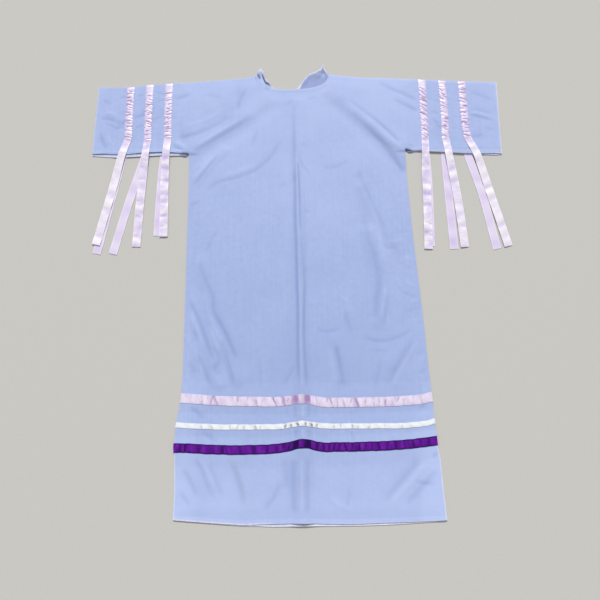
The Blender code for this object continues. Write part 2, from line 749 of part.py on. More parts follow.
def gather_rings(ribbon):
    """The rings of a sleeve ribbon's gathered stretch: a low one, then a puffed one, each gather."""
    draw = random.Random(ribbon.seed)
    widths = [draw.uniform(0.7, 1.35) for _ in range(GATHERS)]
    start = front_top(ribbon.x) - 2.0
    pitch = (start - ribbon.tack_y - 3.0) / sum(widths)
    path = (Point(ribbon.x, start), Point(mix(ribbon.x, ribbon.tack_x, 0.2), ribbon.tack_y + 40.0),
            Point(ribbon.tack_x, ribbon.tack_y))
    across = Point(1.0, 0.0)
    rings = []
    y = start
    for number, width in enumerate(widths):
        inner = front_under(ribbon.x, y) + PANEL_STEP
        slant = draw.uniform(-1.0, 1.0) * GATHER_SLANT if number else 0.0
        low = strip_ring(Point(curve_x(path, y), y), across, RIBBON_WIDTH, inner, (0.1, 0.1), 0.0, slant)
        top = y - pitch * width * 0.5
        puffs = (PUFF * draw.uniform(0.55, 1.0), PUFF * draw.uniform(0.55, 1.0))
        high = strip_ring(Point(curve_x(path, top), top), across, RIBBON_WIDTH, inner, puffs, 0.4, slant)
        rings += [low, high]
        y -= pitch * width
    return rings


def tail_height(ribbon, place):
    """The height of a front tail's underside: over the sleeve, then down to the floor or ribbon."""
    edge = read(FRONT_UNDERARM, "x", "y", place.x)
    on_sleeve = front_under(place.x, max(place.y, edge)) + PANEL_STEP + TAIL_CLEARANCE
    if place.y >= edge:
        return on_sleeve
    path = back_path(ribbon)
    covered = path[-1].y - RIBBON_WIDTH / 2 < place.y
    aside = abs(place.x - curve_x(path, max(place.y, path[-1].y))) - RIBBON_WIDTH
    near = smooth(1.0 - aside / RIBBON_WIDTH) if covered else 0.0
    rest = UNDERLAY_RAISE * near
    top_of_lift = front_under(place.x, edge) + PANEL_STEP + TAIL_CLEARANCE
    return mix(top_of_lift, rest, smooth((edge - place.y) / TAIL_DROP))


def front_path(ribbon):
    """The points of a front tail, from its tack."""
    return (Point(ribbon.tack_x, ribbon.tack_y),) + ribbon.front_tail


def back_path(ribbon):
    """The points of a back tail, from its tack behind the sleeve."""
    return (Point(ribbon.x, ribbon.tack_y),) + ribbon.back_tail


def tail_rings(ribbon):
    """The rings of a front tail: the tack, over the sleeve's edge, then wave by wave to its end."""
    path = front_path(ribbon)
    edge = read(FRONT_UNDERARM, "x", "y", curve_x(path, read(FRONT_UNDERARM, "x", "y", ribbon.x)))
    levels = [ribbon.tack_y - 7.0, mix(ribbon.tack_y - 7.0, edge, 0.5)]
    levels += [edge + 3.0, edge - 3.0, edge - 13.0, edge - 23.0, edge - TAIL_DROP]
    half_wave = TAIL_WAVE_LENGTH / 2
    count = round((levels[-1] - path[-1].y) / half_wave)
    low = levels[-1]
    waves = [mix(low, path[-1].y, (i + 1) / count) for i in range(count)]
    middle = Point(ribbon.tack_x, ribbon.tack_y)
    inner = front_under(middle.x, middle.y) + PANEL_STEP
    rings = [strip_ring(middle, Point(1.0, 0.0), TACK_WIDTH, inner, (1.6, 1.6), 0.8)]
    for y in levels:
        place, across = tail_frame(path, y)
        rings.append(strip_ring(place, across, RIBBON_WIDTH, tail_height(ribbon, place), (0.2, 0.2)))
    draw = random.Random(ribbon.seed + 1)
    for number, y in enumerate(waves):
        place, across = tail_frame(path, y)
        crest = TAIL_WAVE * draw.uniform(0.5, 1.0) if number % 2 == 0 and y != path[-1].y else 0.0
        rings.append(strip_ring(place, across, RIBBON_WIDTH, tail_height(ribbon, place) + crest, (0.2, 0.2)))
    return rings


def back_rings(ribbon):
    """The rings of a ribbon behind a sleeve and of its tail, flat on the floor."""
    path = back_path(ribbon)
    start = front_top(ribbon.x) + GAP + RIBBON
    levels = [start, start - 40.0, mix(start, ribbon.tack_y, 0.6), ribbon.tack_y]
    for i in range(BACK_TAIL_STEPS):
        levels.append(mix(ribbon.tack_y, path[-1].y, (i + 1) / BACK_TAIL_STEPS))
    rings = []
    for y in levels:
        place, across = Point(ribbon.x, y), Point(1.0, 0.0)
        if y < ribbon.tack_y:
            place, across = tail_frame(path, y)
        half = RIBBON_WIDTH / 2
        ends = [(place.x + across.x * s, place.y + across.y * s) for s in (-half, half)]
        rings.append([ends[0] + (0.0,), ends[1] + (0.0,), ends[1] + (RIBBON,), ends[0] + (RIBBON,)])
    rings[0] = [(x, front_top(x) + GAP + RIBBON, z) for x, _, z in rings[0]]
    return rings


def add_materials():
    """One plain material for each cloth and ribbon."""
    for name, (colour, roughness) in COLOURS.items():
        material = bpy.data.materials.new(name)
        material.use_nodes = True
        shader = material.node_tree.nodes["Principled BSDF"]
        shader.inputs["Base Color"].default_value = colour
        shader.inputs["Roughness"].default_value = roughness
        shader.inputs["Metallic"].default_value = 0.0
        material.diffuse_color = colour


def main():
    """Clears the scene and builds the dress."""
    for thing in list(bpy.data.objects):
        bpy.data.objects.remove(thing, do_unlink=True)
    dress = bpy.data.collections.new("powwow_dress")
    bpy.context.scene.collection.children.link(dress)
    add_materials()

    front, front_skirt = front_panel()
    back, _ = back_panel()
    add_wall("front_panel", front, "blue_cloth", dress)
    add_wall("back_panel", back, "blue_cloth", dress)

    lines = skirt_rows(*FRONT_STEPS)
    for band in BANDS:
        flat = band.width / 2 + RAMP_CLEARANCE
        upper = front_skirt[lines.index(band.row.moved(flat))]
        lower = front_skirt[lines.index(band.row.moved(-flat))]
        add_loft(band.name + "_front", front_band(band, front, (upper, lower)), band.colour, dress)
        add_loft(band.name + "_back", back_band(band), band.colour, dress)

    for ribbon in SLEEVE_RIBBONS:
        rings = wrap_rings(ribbon) + gather_rings(ribbon) + tail_rings(ribbon)
        add_loft(ribbon.name + "_front", rings, "lilac_satin", dress)
        add_loft(ribbon.name + "_back", back_rings(ribbon), "lilac_satin", dress)


main()
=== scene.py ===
"""The looks of a powwow dress laid flat: plain blue cloth, satin ribbons and their sewing.

The neck lies towards +Y, the hem towards -Y and the front upwards. Left and right are as seen from
above. Tables and sizes are in millimetres; a mesh is made in metres. In what follows x and y are
the plan places of points, across and along the dress, and s is a share of a ribbon's width, from
-0.5 at one edge to 0.5 at the other.
"""

import logging
import math
from abc import ABC, abstractmethod
from dataclasses import dataclass, field
from enum import Enum
from operator import attrgetter
from typing import Callable, NamedTuple, Sequence

import bpy
import numpy as np
from mathutils import Matrix

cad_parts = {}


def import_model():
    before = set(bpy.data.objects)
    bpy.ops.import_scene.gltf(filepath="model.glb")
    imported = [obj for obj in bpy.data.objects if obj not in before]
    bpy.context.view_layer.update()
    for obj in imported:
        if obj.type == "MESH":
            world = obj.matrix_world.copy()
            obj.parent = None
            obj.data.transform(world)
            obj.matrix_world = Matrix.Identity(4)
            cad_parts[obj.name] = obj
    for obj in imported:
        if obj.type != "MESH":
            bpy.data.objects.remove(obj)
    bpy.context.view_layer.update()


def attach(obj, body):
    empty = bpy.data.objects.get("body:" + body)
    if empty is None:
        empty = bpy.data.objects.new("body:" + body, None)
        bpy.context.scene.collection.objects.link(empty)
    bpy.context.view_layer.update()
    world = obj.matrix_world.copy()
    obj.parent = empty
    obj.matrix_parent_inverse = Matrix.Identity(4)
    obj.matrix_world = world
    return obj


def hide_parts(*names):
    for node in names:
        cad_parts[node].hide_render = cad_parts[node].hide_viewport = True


Array = np.ndarray
Material = bpy.types.Material
Object = bpy.types.Object
Socket = bpy.types.NodeSocket
MM = 0.001
LOG = logging.getLogger("powwow_dress")


class Side(Enum):
    """A side of the dress, as seen from above."""

    LEFT = -1
    RIGHT = 1


class Layer(Enum):
    """The upper or the lower layer of the dress."""

    FRONT = "front"
    BACK = "back"


class Satin(Enum):
    """The colours in which ribbon is used."""

    LILAC = "lilac_satin"
    PINK = "pink_satin"
    WHITE = "white_satin"
    PURPLE = "purple_satin"


class Point(NamedTuple):
    """A place on the floor plan."""

    x: float
    y: float


class Row(NamedTuple):
    """A line across the skirt: its two ends, the sag between them and its peak at the crease."""

    left_y: float
    right_y: float
    sag: float
    peak: float

    def moved(self, offset: float) -> "Row":
        """The same line, further up the skirt."""
        return Row(self.left_y + offset, self.right_y + offset, self.sag, self.peak)


class Column(NamedTuple):
    """A line down a panel: where it crosses the armpit line and where it reaches the top edge."""

    armpit_x: float
    top_x: float


class CreasePoint(NamedTuple):
    """One level of the long crease down the middle of the front."""

    y: float
    x: float
    half_width: float
    height: float


class LiftedPoint(NamedTuple):
    """A point of the back's neckline and how far it stands up from the floor."""

    x: float
    y: float
    lift: float


class Fold(NamedTuple):
    """A soft ridge (or, below nought, a trough) from one place to another, with its sideways bow."""

    x0: float
    y0: float
    x1: float
    y1: float
    bow: float
    half_width: float
    start: float
    end: float
    far_reach: float = 1.0
    near_reach: float = 1.0


class Pucker(NamedTuple):
    """A pinch across a skirt ribbon: where it is, how it leans, and how wide and deep it is."""

    x: float
    lean: float
    half_width: float
    depth: float


class Reach(NamedTuple):
    """How far across a ribbon a pinch runs, as shares of its width."""

    start: float
    end: float


class WashPoint(NamedTuple):
    """How much painted light (or, below nought, painted shade) the cloth gets at one height of the dress.
    """

    y: float
    shade: float


class WashPatch(NamedTuple):
    """A soft round patch of painted light (or, below nought, painted shade)."""

    x: float
    y: float
    half_width: float
    half_length: float
    shade: float

    def at(self, x: Array, y: Array) -> Array:
        """How much it adds at each point."""
        return self.shade * bell((x - self.x) / self.half_width, (y - self.y) / self.half_length)


class EdgeHighlight(NamedTuple):
    """How much painted highlight the turned edges inside a box of the plan get, and how far in that runs.
    """

    left: float
    right: float
    low: float
    high: float
    pale: float
    run: float


def table(kind: Callable, *rows: tuple) -> tuple:
    """A table with named columns, of one kind of row."""
    return tuple(kind(*row) for row in rows)


def read(rows: Sequence[NamedTuple], at: Array, key: str = "x", value: str = "y") -> Array:
    """The straight-line reading of one named column of a table at values of another.

    Args:
        rows: the table.
        at: where it is looked up.
        key: the column that is looked up.
        value: the column that is read.

    Returns:
        The readings, held level past the table's ends.
    """
    rows = sorted(rows, key=attrgetter(key))
    return np.interp(at, [getattr(row, key) for row in rows], [getattr(row, value) for row in rows])


def within(rows: Sequence[NamedTuple], x: Array) -> Array:
    """Which places lie between the first and the last row of a table."""
    return (x > rows[0].x) & (x < rows[-1].x)


def soft_step(t: Array) -> Array:
    """A soft step from 0 to 1."""
    t = np.clip(t, 0.0, 1.0)
    return t * t * (3.0 - 2.0 * t)


def mix(a: Array, b: Array, t: Array) -> Array:
    """The value a share t of the way from a to b."""
    return a + (b - a) * t


def bell(*away: Array) -> Array:
    """A bump of height 1 that fades out in one direction, or in two where two are given."""
    return np.exp(-sum(np.square(t) for t in away))


def hump(away: Array) -> Array:
    """A rounded bump of height 1 that ends at a distance of 1."""
    return np.cos(0.5 * math.pi * np.minimum(1.0, away)) ** 2


def stacked(*parts: Array) -> Array:
    """Points from their coordinates, which are spread to one shape."""
    return np.stack(np.broadcast_arrays(*parts), axis=-1)


def spread(start: float, end: float, pitch: float) -> Array:
    """Even places from start to end, about a pitch apart."""
    return np.linspace(start, end, max(2, round(abs(end - start) / pitch) + 1))


def close_to(x: Array, y: Array, line: Array, reach: float) -> Array:
    """Which points lie within reach of the box round a line's points."""
    (left, low), (right, high) = line[:, :2].min(axis=0), line[:, :2].max(axis=0)
    return (x > left - reach) & (x < right + reach) & (y > low - reach) & (y < high + reach)


def curved(t: Array, run: Array, start: Array, end: Array, slope_in: Array, slope_out: Array) -> Array:
    """A smooth way from one value to another.

    Args:
        t: how far along it, from 0 to 1.
        run: how long it is.
        start: the value at its start.
        end: the value at its end.
        slope_in: the slope at its start.
        slope_out: the slope at its end.

    Returns:
        The value at each t.
    """
    bend = (t**3 - 2 * t**2 + t) * run * slope_in + (t**3 - t**2) * run * slope_out
    return (2 * t**3 - 3 * t**2 + 1) * start + (3 * t**2 - 2 * t**3) * end + bend


def add_to_scene(name: str, data: bpy.types.ID) -> Object:
    """Puts a new object in the scene, at the origin.

    Args:
        name: its name.
        data: its mesh, light or camera.

    Returns:
        The object.
    """
    thing = bpy.data.objects.new(name, data)
    bpy.context.scene.collection.objects.link(thing)
    return thing


@dataclass(frozen=True)
class Wrinkle:
    """A fine crease that runs smoothly through several places and fades out at both ends."""

    half_width: float
    fade: float
    stops: tuple
    step: float = 1.2
    most_fade: float = 0.45

    @classmethod
    def through(cls, half_width: float, fade: float, *stops: tuple) -> "Wrinkle":
        """A wrinkle through stops: each an x, a y and how far the cloth rises (or sinks) there."""
        return cls(half_width, fade, stops)

    def line(self) -> Array:
        """Follows the wrinkle.

        Returns:
            Points a small step apart: x, y and their rise.
        """
        stops = np.array(self.stops, float)
        lengths = np.hypot(*np.diff(stops[:, :2], axis=0).T)
        at = np.concatenate([[0.0], np.cumsum(lengths)])
        along = np.linspace(0.0, at[-1], max(2, round(at[-1] / self.step) + 1))
        slope = np.gradient(stops, at, axis=0)
        piece = np.clip(np.searchsorted(at, along, side="right") - 1, 0, len(at) - 2)
        run = lengths[piece][:, None]
        t = (along[:, None] - at[piece][:, None]) / run
        line = curved(t, run, stops[piece], stops[piece + 1], slope[piece], slope[piece + 1])
        fade = min(self.fade, self.most_fade * at[-1])
        line[:, 2] *= soft_step(along / fade) * soft_step((at[-1] - along) / fade)
        return line


TOP_EDGE = table(
    Point, (-559, 558.5), (-514, 557.5), (-474, 557), (-446, 559), (-424.5, 563), (-364.5, 566.5),
    (-274, 572), (-189, 578), (-133, 583.5), (-116, 588.5), (88, 590.5), (122, 585), (179, 579),
    (263, 575), (351, 569), (407, 565), (463, 561.5), (517, 560), (561.6, 557),
)
FRONT_UNDERARM = table(
    Point, (-563.5, 353.5), (-527, 354), (-494, 351), (-465, 351), (-432, 354.5), (-371, 356.5),
    (-344, 354.5), (-320, 352.5), (-298, 349.5), (294, 354), (316, 350.5), (336, 351), (361, 347),
    (393, 345), (445, 341), (500, 339), (545, 339.5), (557.5, 338),
)
BACK_UNDERARM = table(
    Point, (-563.5, 348), (-528, 345), (-495, 342), (-466, 343), (-407, 345.5), (-376, 347),
    (-345, 345.5), (-325, 345.5), (-314, 342.5), (-303, 341), (-298, 349.5), (294, 354), (298, 346),
    (308, 344), (318, 347.5), (336, 350.5), (361, 347), (393, 345), (445, 341), (500, 337),
    (546, 334.5), (557.5, 338),
)
LEFT_SIDE = table(
    Point, (-298, 349.5), (-296, 245), (-296, -242), (-298, -316), (-305, -352), (-309.5, -389),
    (-312, -429), (-310, -460), (-307.5, -530), (-308.6, -597.5),
)
RIGHT_SIDE = table(
    Point, (294, 354), (293.5, 294), (298.6, 150), (303, 66), (313, -96), (320, -250), (325, -361),
    (329, -433), (335, -468), (337.4, -538), (341, -606),
)
BACK_NECK = table(
    LiftedPoint, (-116, 588.5, 0), (-102, 611, 6), (-95, 600, 6), (-90, 582, 3), (-79, 568, 1.5),
    (-68, 551, 0), (-54, 535, 0), (-36, 528, 0), (-17, 532, 0), (0, 545, 0), (18, 571, 2), (34, 590, 4),
    (57, 599, 5), (69, 607.5, 6.5), (74.5, 620.5, 8), (78, 607, 4.5), (88, 590.5, 0),
)
BACK_HEM_PEEK = table(
    Point, (-310, 0.5), (-200, 0.5), (-110, 2), (-70, 4.5), (190, 5), (300, 4), (342, 2.5),
)
# How far up from the solids' hem row each layer's hem has settled.
FRONT_HEM_RISE = table(
    Point, (-300, 0), (-236, 1), (-143, 1), (-90, 5), (-26, 8.3), (27, 8.5), (105, 5.5), (198, 5),
    (281, 2), (338, 0),
)
BACK_HEM_RISE = table(
    Point, (-300, -0.5), (-236, -0.5), (-143, 0), (-90, 3), (-26, 6), (27, 7), (105, 6.5), (198, 5),
    (285, 3.5), (338, 0.5),
)
# The front's hem at the left of the neck, which is crumpled up over the back's.
NECK_RUFFLE = table(
    Point, (-116, 588.5), (-111, 596), (-105, 603), (-100, 594), (-95, 577), (-90, 563.5), (-81, 557.5),
    (-72, 549), (-62, 540),
)
ARMPIT = Row(349.5, 354.0, 0.0, 0.0)
CHEST = Row(60.0, 60.0, 0.0, 0.0)
HEM = Row(-597.5, -606.0, -16.0, 0.0)

COLUMN_FAN = table(
    Column, (-298, -298), (-178, -178), (-150, -145), (-122, -116), (-94, -111.5), (-66, -101),
    (-40, -84), (-20, -62), (-9, -38), (0, -14), (9, 10), (20, 35), (40, 57), (66, 74), (94, 84),
    (122, 88), (150, 117), (178, 160), (208, 204), (238, 238), (294, 294),
)
LEFT_CUFF = Column(-563.5, -559.0)
RIGHT_CUFF = Column(557.5, 561.6)

CREASE = table(
    CreasePoint, (485, -6, 12, 0), (420, -4, 13, 2.4), (350, 0, 14, 3.8), (211, 6.5, 15, 4.2),
    (98, 7.5, 16, 4.4), (-12, 7, 18, 4.8), (-144, 6.5, 23, 5.2), (-296, 4, 30, 6.2), (-440, 2, 32, 6.4),
    (-617, 0, 34, 3.2),
)
MAIN_FOLDS = table(
    Fold,
    (-292, 361, -92, 504, -9, 30, 2.8, 2.2, 1.45, 0.85),
    (-280, 327, -66, 481, -9, 28, -1.6, -1.2),
    (92, 530, 280, 368, -8, 32, 1.9, 2.9, 1.45, 0.85),
    (110, 490, 272, 318, -8, 30, -1.6, -1.6),
    (-262, 34, -161, -266, -8, 30, 2.2, 3, 1.45, 0.85),
    (-286, -64, -221, -222, -6, 26, 2.4, 2.4, 1.45, 0.85),
    (-270, -198, -206, -280, -5, 24, 2, 2.2, 1.45, 0.85),
    (-285, 249, -205, 356, 4, 26, 1.8, 2.4, 1.45, 0.85),
    (171, 245, 262, 72, -5, 30, 3, 2.4, 1.45, 0.85),
    (176, 114, 194, -124, 12, 30, 2.8, 2.4, 1.45, 0.85),
    (89, -172, 98, -268, 3, 28, 2.2, 2.8, 1.45, 0.85),
    (236, -236, 302, -148, -4, 28, 2.2, 2.4, 1.45, 0.85),
)

# Fine creases that the solids leave out, region by region.
SHOULDER_WRINKLES = table(
    Wrinkle.through,
    (12, 24, (-296, 351, -0.6), (-252, 375, -1), (-213, 401, -1.4), (-165, 432, -1.1),
     (-122, 464, -0.3)),
    (6, 24, (-288, 364, 0.4), (-222, 410, 0.7), (-156, 453, 0.5)),
    (16, 24, (-337, 458, -0.2), (-319, 421, -0.35), (-307, 375, -0.45)),
    (6, 24, (-168, 470, -0.7), (-160, 508, -0.9), (-141, 550, -0.6)),
    (8, 24, (-352, 514, -0.6), (-320, 524, -0.9), (-292, 531, -0.5)),
    (9, 24, (-266, 530, -0.3), (-232, 523, -0.4), (-198, 511, -0.3)),
    (11, 24, (-336, 397, -0.9), (-280, 409, -0.9), (-226, 434, -0.7), (-178, 467, -0.3)),
    (10, 24, (-330, 432, 0.4), (-262, 448, 0.5), (-205, 480, 0.4)),
    (14, 24, (100, 504, -0.1), (140, 472, -0.4), (178, 438, -1.1), (215, 396, -1.6), (252, 350, -1.8),
     (276, 308, -1.5), (291, 276, -0.8)),
    (8, 24, (122, 509, 0.3), (165, 474, 0.4), (217, 422, 0.8), (262, 375, 0.9), (291, 348, 0.5)),
    (6, 24, (134, 517, -0.2), (190, 468, -0.8), (241, 419, -1.2), (284, 371, -0.9)),
    (9, 24, (224, 566, -0.5), (262, 541, -0.7), (302, 521, -0.8), (340, 499, -1)),
    (9, 24, (262, 512, -0.4), (303, 488, -0.9), (342, 466, -1.1)),
    (10, 24, (270, 532, 0.2), (306, 505, 0.2), (340, 482, 0.2)),
    (7, 24, (-36, 484, -0.6), (-22, 500, -0.7), (-10, 520, -0.4)),
    (8, 24, (18, 506, -0.4), (44, 514, -0.4), (68, 512, -0.3)),
)
SLEEVE_WRINKLES = table(
    Wrinkle.through,
    (6, 24, (-550, 462, -0.5), (-526, 463, -0.8), (-498, 446, -0.7), (-482, 430, -0.4)),
    (3.4, 8, (-549, 461, -0.8), (-528, 459, -1.2), (-507, 451, -0.7)),
    (3.4, 8, (-536, 447, -0.6), (-513, 436, -1), (-488, 428, -0.6)),
    (3.2, 8, (-512, 421, -0.4), (-499, 429, -0.7), (-480, 432, -0.5)),
    (7, 24, (-546, 474, 0.5), (-520, 477, 0.8), (-490, 459, 0.5)),
    (8, 24, (-546, 418, -0.4), (-537, 392, -0.7), (-517, 362, -0.5)),
    (3.6, 10, (-544, 421, -0.6), (-540, 397, -1), (-525, 366, -0.6)),
    (6, 24, (-530, 420, 0.5), (-520, 396, 0.7), (-500, 374, 0.4)),
    (7, 24, (-461, 458, -0.8), (-436, 467, -1.2), (-404, 487, -1.4), (-392, 497, -0.7)),
    (6, 24, (-454, 426, -0.7), (-438, 433, -0.9), (-424, 440, -0.5)),
    (5, 24, (-500, 522, -0.7), (-485, 525, -0.8), (-470, 526, -0.5)),
    (6, 24, (-546, 520, -0.5), (-530, 508, -0.7), (-514, 500, -0.4)),
    (5, 24, (-455, 524, -0.7), (-440, 528, -0.8), (-424, 531, -0.5)),
    (7, 24, (-500, 434, -0.7), (-482, 446, -1.1), (-468, 456, -0.8)),
    (6, 24, (-400, 452, -0.4), (-384, 462, -0.8), (-371, 470, -0.5)),
    (5, 24, (-396, 530, -0.4), (-382, 536, -0.7), (-370, 539, -0.4)),
    (6, 24, (-350, 381, -1.2), (-328, 366, -1.6), (-303, 348, -1.2)),
    (6, 24, (-340, 362, 1.4), (-322, 357, 1.8), (-304, 352, 1.1)),
    (7, 24, (-342, 392, 0.5), (-318, 374, 1.1), (-296, 356, 0.8)),
    (6, 24, (366, 470, -0.7), (382, 465, -0.7), (398, 458, -0.4)),
    (7, 24, (371, 450, -0.8), (394, 420, -0.8), (428, 391, -0.5)),
    (7, 24, (380, 446, 0.3), (402, 421, 0.5), (432, 398, 0.4)),
    (7, 24, (470, 473, -0.3), (500, 470, -0.4), (530, 462, -0.5), (551, 452, -0.4)),
    (5.5, 24, (468, 455, -0.9), (500, 451, -1.2), (528, 443, -0.9), (548, 433, -0.5)),
    (5.5, 24, (470, 463, 0.6), (500, 460, 0.8), (530, 451, 0.6), (549, 442, 0.4)),
    (8, 24, (470, 387, -0.9), (492, 391, -1), (520, 390, -0.5)),
    (8, 24, (474, 529, -0.4), (512, 517, -0.6), (552, 495, -0.5)),
    (6, 24, (508, 420, -0.3), (528, 412, -0.6), (550, 408, -0.4)),
    (5, 24, (298, 366, -0.8), (312, 361, -0.7), (326, 362, -0.3)),
    (7, 24, (290, 348, -0.8), (291, 315, -0.6), (292, 284, -0.3)),
)
CHEST_WRINKLES = table(
    Wrinkle.through,
    (6.5, 24, (-293, 246, -0.6), (-263, 281, -0.9), (-241, 313, -0.8), (-212, 350, -0.4)),
    (7.5, 24, (-291, 266, 0.6), (-258, 304, 0.8), (-226, 347, 0.4)),
    (8.5, 24, (-252, 233, -0.3), (-222, 260, -0.55), (-168, 276, -0.7), (-115, 298, -0.65),
     (-70, 343, -0.65), (-44, 392, -0.4)),
    (9, 24, (-220, 276, 0.4), (-160, 294, 0.5), (-108, 318, 0.4)),
    (6, 24, (-105, 436, -0.3), (-116, 400, -0.4), (-131, 356, -0.3)),
    (7, 24, (-293, 189, -0.6), (-277, 203, -0.7), (-258, 214, -0.3)),
    (7, 24, (-30, 262, -0.3), (-46, 248, -0.5), (-62, 252, -0.3)),
    (4, 24, (-3, 343, -0.5), (12, 311, -0.7), (36, 273, -0.4)),
    (5.5, 24, (3, 378, -0.5), (16, 372, -0.6), (32, 370, -0.3)),
    (5, 24, (12, 182, -0.3), (24, 174, -0.6), (36, 170, -0.3)),
    (8, 24, (56, 303, -0.3), (104, 303, -0.5), (147, 331, -0.3)),
    (9, 24, (157, 300, -0.5), (188, 221, -0.8), (210, 162, -0.7), (229, 118, -0.5)),
    (14, 24, (160, 250, -0.1), (170, 196, -0.3), (181, 110, -0.7), (197, 44, -0.9), (205, -22, -1),
     (197, -75, -1), (190, -131, -0.5)),
    (12, 24, (192, 240, 0.4), (206, 130, 0.6), (226, 20, 0.5)),
    (7, 24, (198, 104, -0.2), (212, 84, -0.3), (236, 70, -0.4), (268, 76, -0.3), (288, 88, -0.2)),
    (6, 24, (226, 92, 0.3), (250, 88, 0.5), (278, 98, 0.4)),
    (5, 24, (240, 118, -0.3), (262, 112, -0.4), (294, 122, -0.4)),
)
MIDDLE_WRINKLES = table(
    Wrinkle.through,
    (9, 24, (-9, 512, -0.3), (-9, 440, -0.7), (-11, 372, -0.9), (-12, 312, -0.8), (-10, 250, -0.8)),
    (5.5, 60, (-12, 325, -0.6), (-10, 239, -1.6), (-10, 167, -1.8), (-9, 97, -1.9), (-8, -15, -2),
     (-7, -97, -1.9), (-8, -178, -1.9), (-8, -228, -1.7), (-6, -300, -1.5)),
    (2.8, 24, (-5, 356, 0.6), (-4, 300, 1), (-3, 210, 1.2), (-3, 139, 1.3), (-1, 83, 1.3),
     (-1, -15, 1.2), (1, -98, 1.2), (0, -150, 1.2), (1, -229, 1), (2, -300, 0.8)),
    (3.6, 12, (-1, 322, -1.2), (1, 276, -1.8), (2, 224, -1.8), (3, 167, -1.4), (4, 111, -0.7)),
    (6.5, 40, (4, 120, -0.6), (8, 55, -0.9), (12, -15, -1.2), (10, -98, -1.7), (9, -157, -1.7),
     (11, -229, -1.5), (15, -300, -1.5)),
    (20, 90, (-26, 120, -0.1), (-28, -60, -0.3), (-26, -300, -0.4)),
    (18, 90, (28, 40, -0.1), (30, -120, -0.25), (34, -300, -0.4)),
    (4, 8, (3, -333, 0.8), (3, -368, 0.8)),
    (5, 8, (-17, -333, -0.9), (-17, -368, -0.7)),
    (5, 8, (18, -333, -0.9), (18, -368, -0.7)),
    (4.5, 8, (-37, -336, -0.5), (-35, -368, -0.6)),
    (4, 8, (36, -338, -0.4), (34, -368, -0.4)),
    (4, 8, (2, -390, 0.8), (2, -420, 0.8)),
    (5, 8, (-15, -390, -0.8), (-15, -418, -0.8)),
    (5, 8, (17, -390, -0.8), (17, -418, -0.8)),
    (4, 30, (0, -452, 0.9), (-2, -520, 0.9), (-3, -598, 0.7)),
    (14, 24, (-23, -456, -0.9), (-22, -520, -1), (-20, -596, -0.8)),
    (8.5, 24, (14, -456, -0.7), (12, -510, -0.8), (11, -596, -0.7)),
    (8, 24, (-46, -296, -0.8), (-28, -262, -0.7), (-13, -228, -0.4)),
    (6, 24, (-38, -292, 0.5), (-22, -260, 0.4), (-10, -234, 0.2)),
)
LEFT_WRINKLES = table(
    Wrinkle.through,
    (9, 24, (-214, 130, -0.3), (-232, 96, -0.5), (-249, 56, -0.5)),
    (9, 24, (-264, 44, -0.5), (-239, -25, -0.9), (-225, -55, -1.1), (-220, -97, -1.2),
     (-204, -126, -1.5), (-186, -160, -1.6), (-172, -193, -1.4), (-156, -226, -0.7)),
    (7, 24, (-250, -40, 0.4), (-229, -112, 0.7), (-203, -168, 0.8), (-178, -226, 0.6),
     (-160, -268, 0.3)),
    (8, 24, (-287, -58, -0.8), (-258, -120, -1.2), (-236, -178, -1.3), (-218, -226, -0.7)),
    (8, 24, (-282, -86, 0.5), (-262, -142, 0.8), (-244, -196, 0.6)),
    (6, 24, (-232, -128, 0.6), (-216, -172, 0.9), (-202, -206, 0.6)),
    (7, 24, (-206, -160, -0.6), (-194, -190, -1), (-178, -237, -1), (-171, -275, -0.8),
     (-168, -297, -0.4)),
    (6, 24, (-203, -214, 0.5), (-190, -252, 0.6), (-181, -294, 0.3)),
    (5, 9, (-223, -180, -0.5), (-206, -220, -0.7), (-214, -246, -0.7), (-198, -256, -0.5)),
    (5, 24, (-216, -256, 0.4), (-206, -268, 0.6), (-202, -290, 0.3)),
    (7.5, 24, (-264, -196, -0.6), (-240, -245, -0.9), (-223, -290, -0.5)),
    (7, 24, (-258, -218, 0.4), (-248, -256, 0.7), (-236, -294, 0.5)),
    (8, 24, (-277, -132, -0.5), (-264, -160, -0.7), (-256, -184, -0.4)),
    (6, 24, (-286, -216, -0.4), (-272, -240, -0.8), (-262, -268, -0.5)),
    (5, 24, (-104, -200, -0.3), (-101, -250, -0.5), (-100, -300, -0.4)),
    (5, 24, (-94, -215, 0.3), (-91, -300, 0.3)),
    (7, 24, (-126, -240, -0.2), (-124, -300, -0.4)),
    (8, 24, (-280, -332, -0.8), (-258, -348, -0.9), (-232, -370, -0.6)),
    (8, 24, (-254, -388, -0.5), (-228, -406, -0.8), (-200, -426, -0.6)),
)
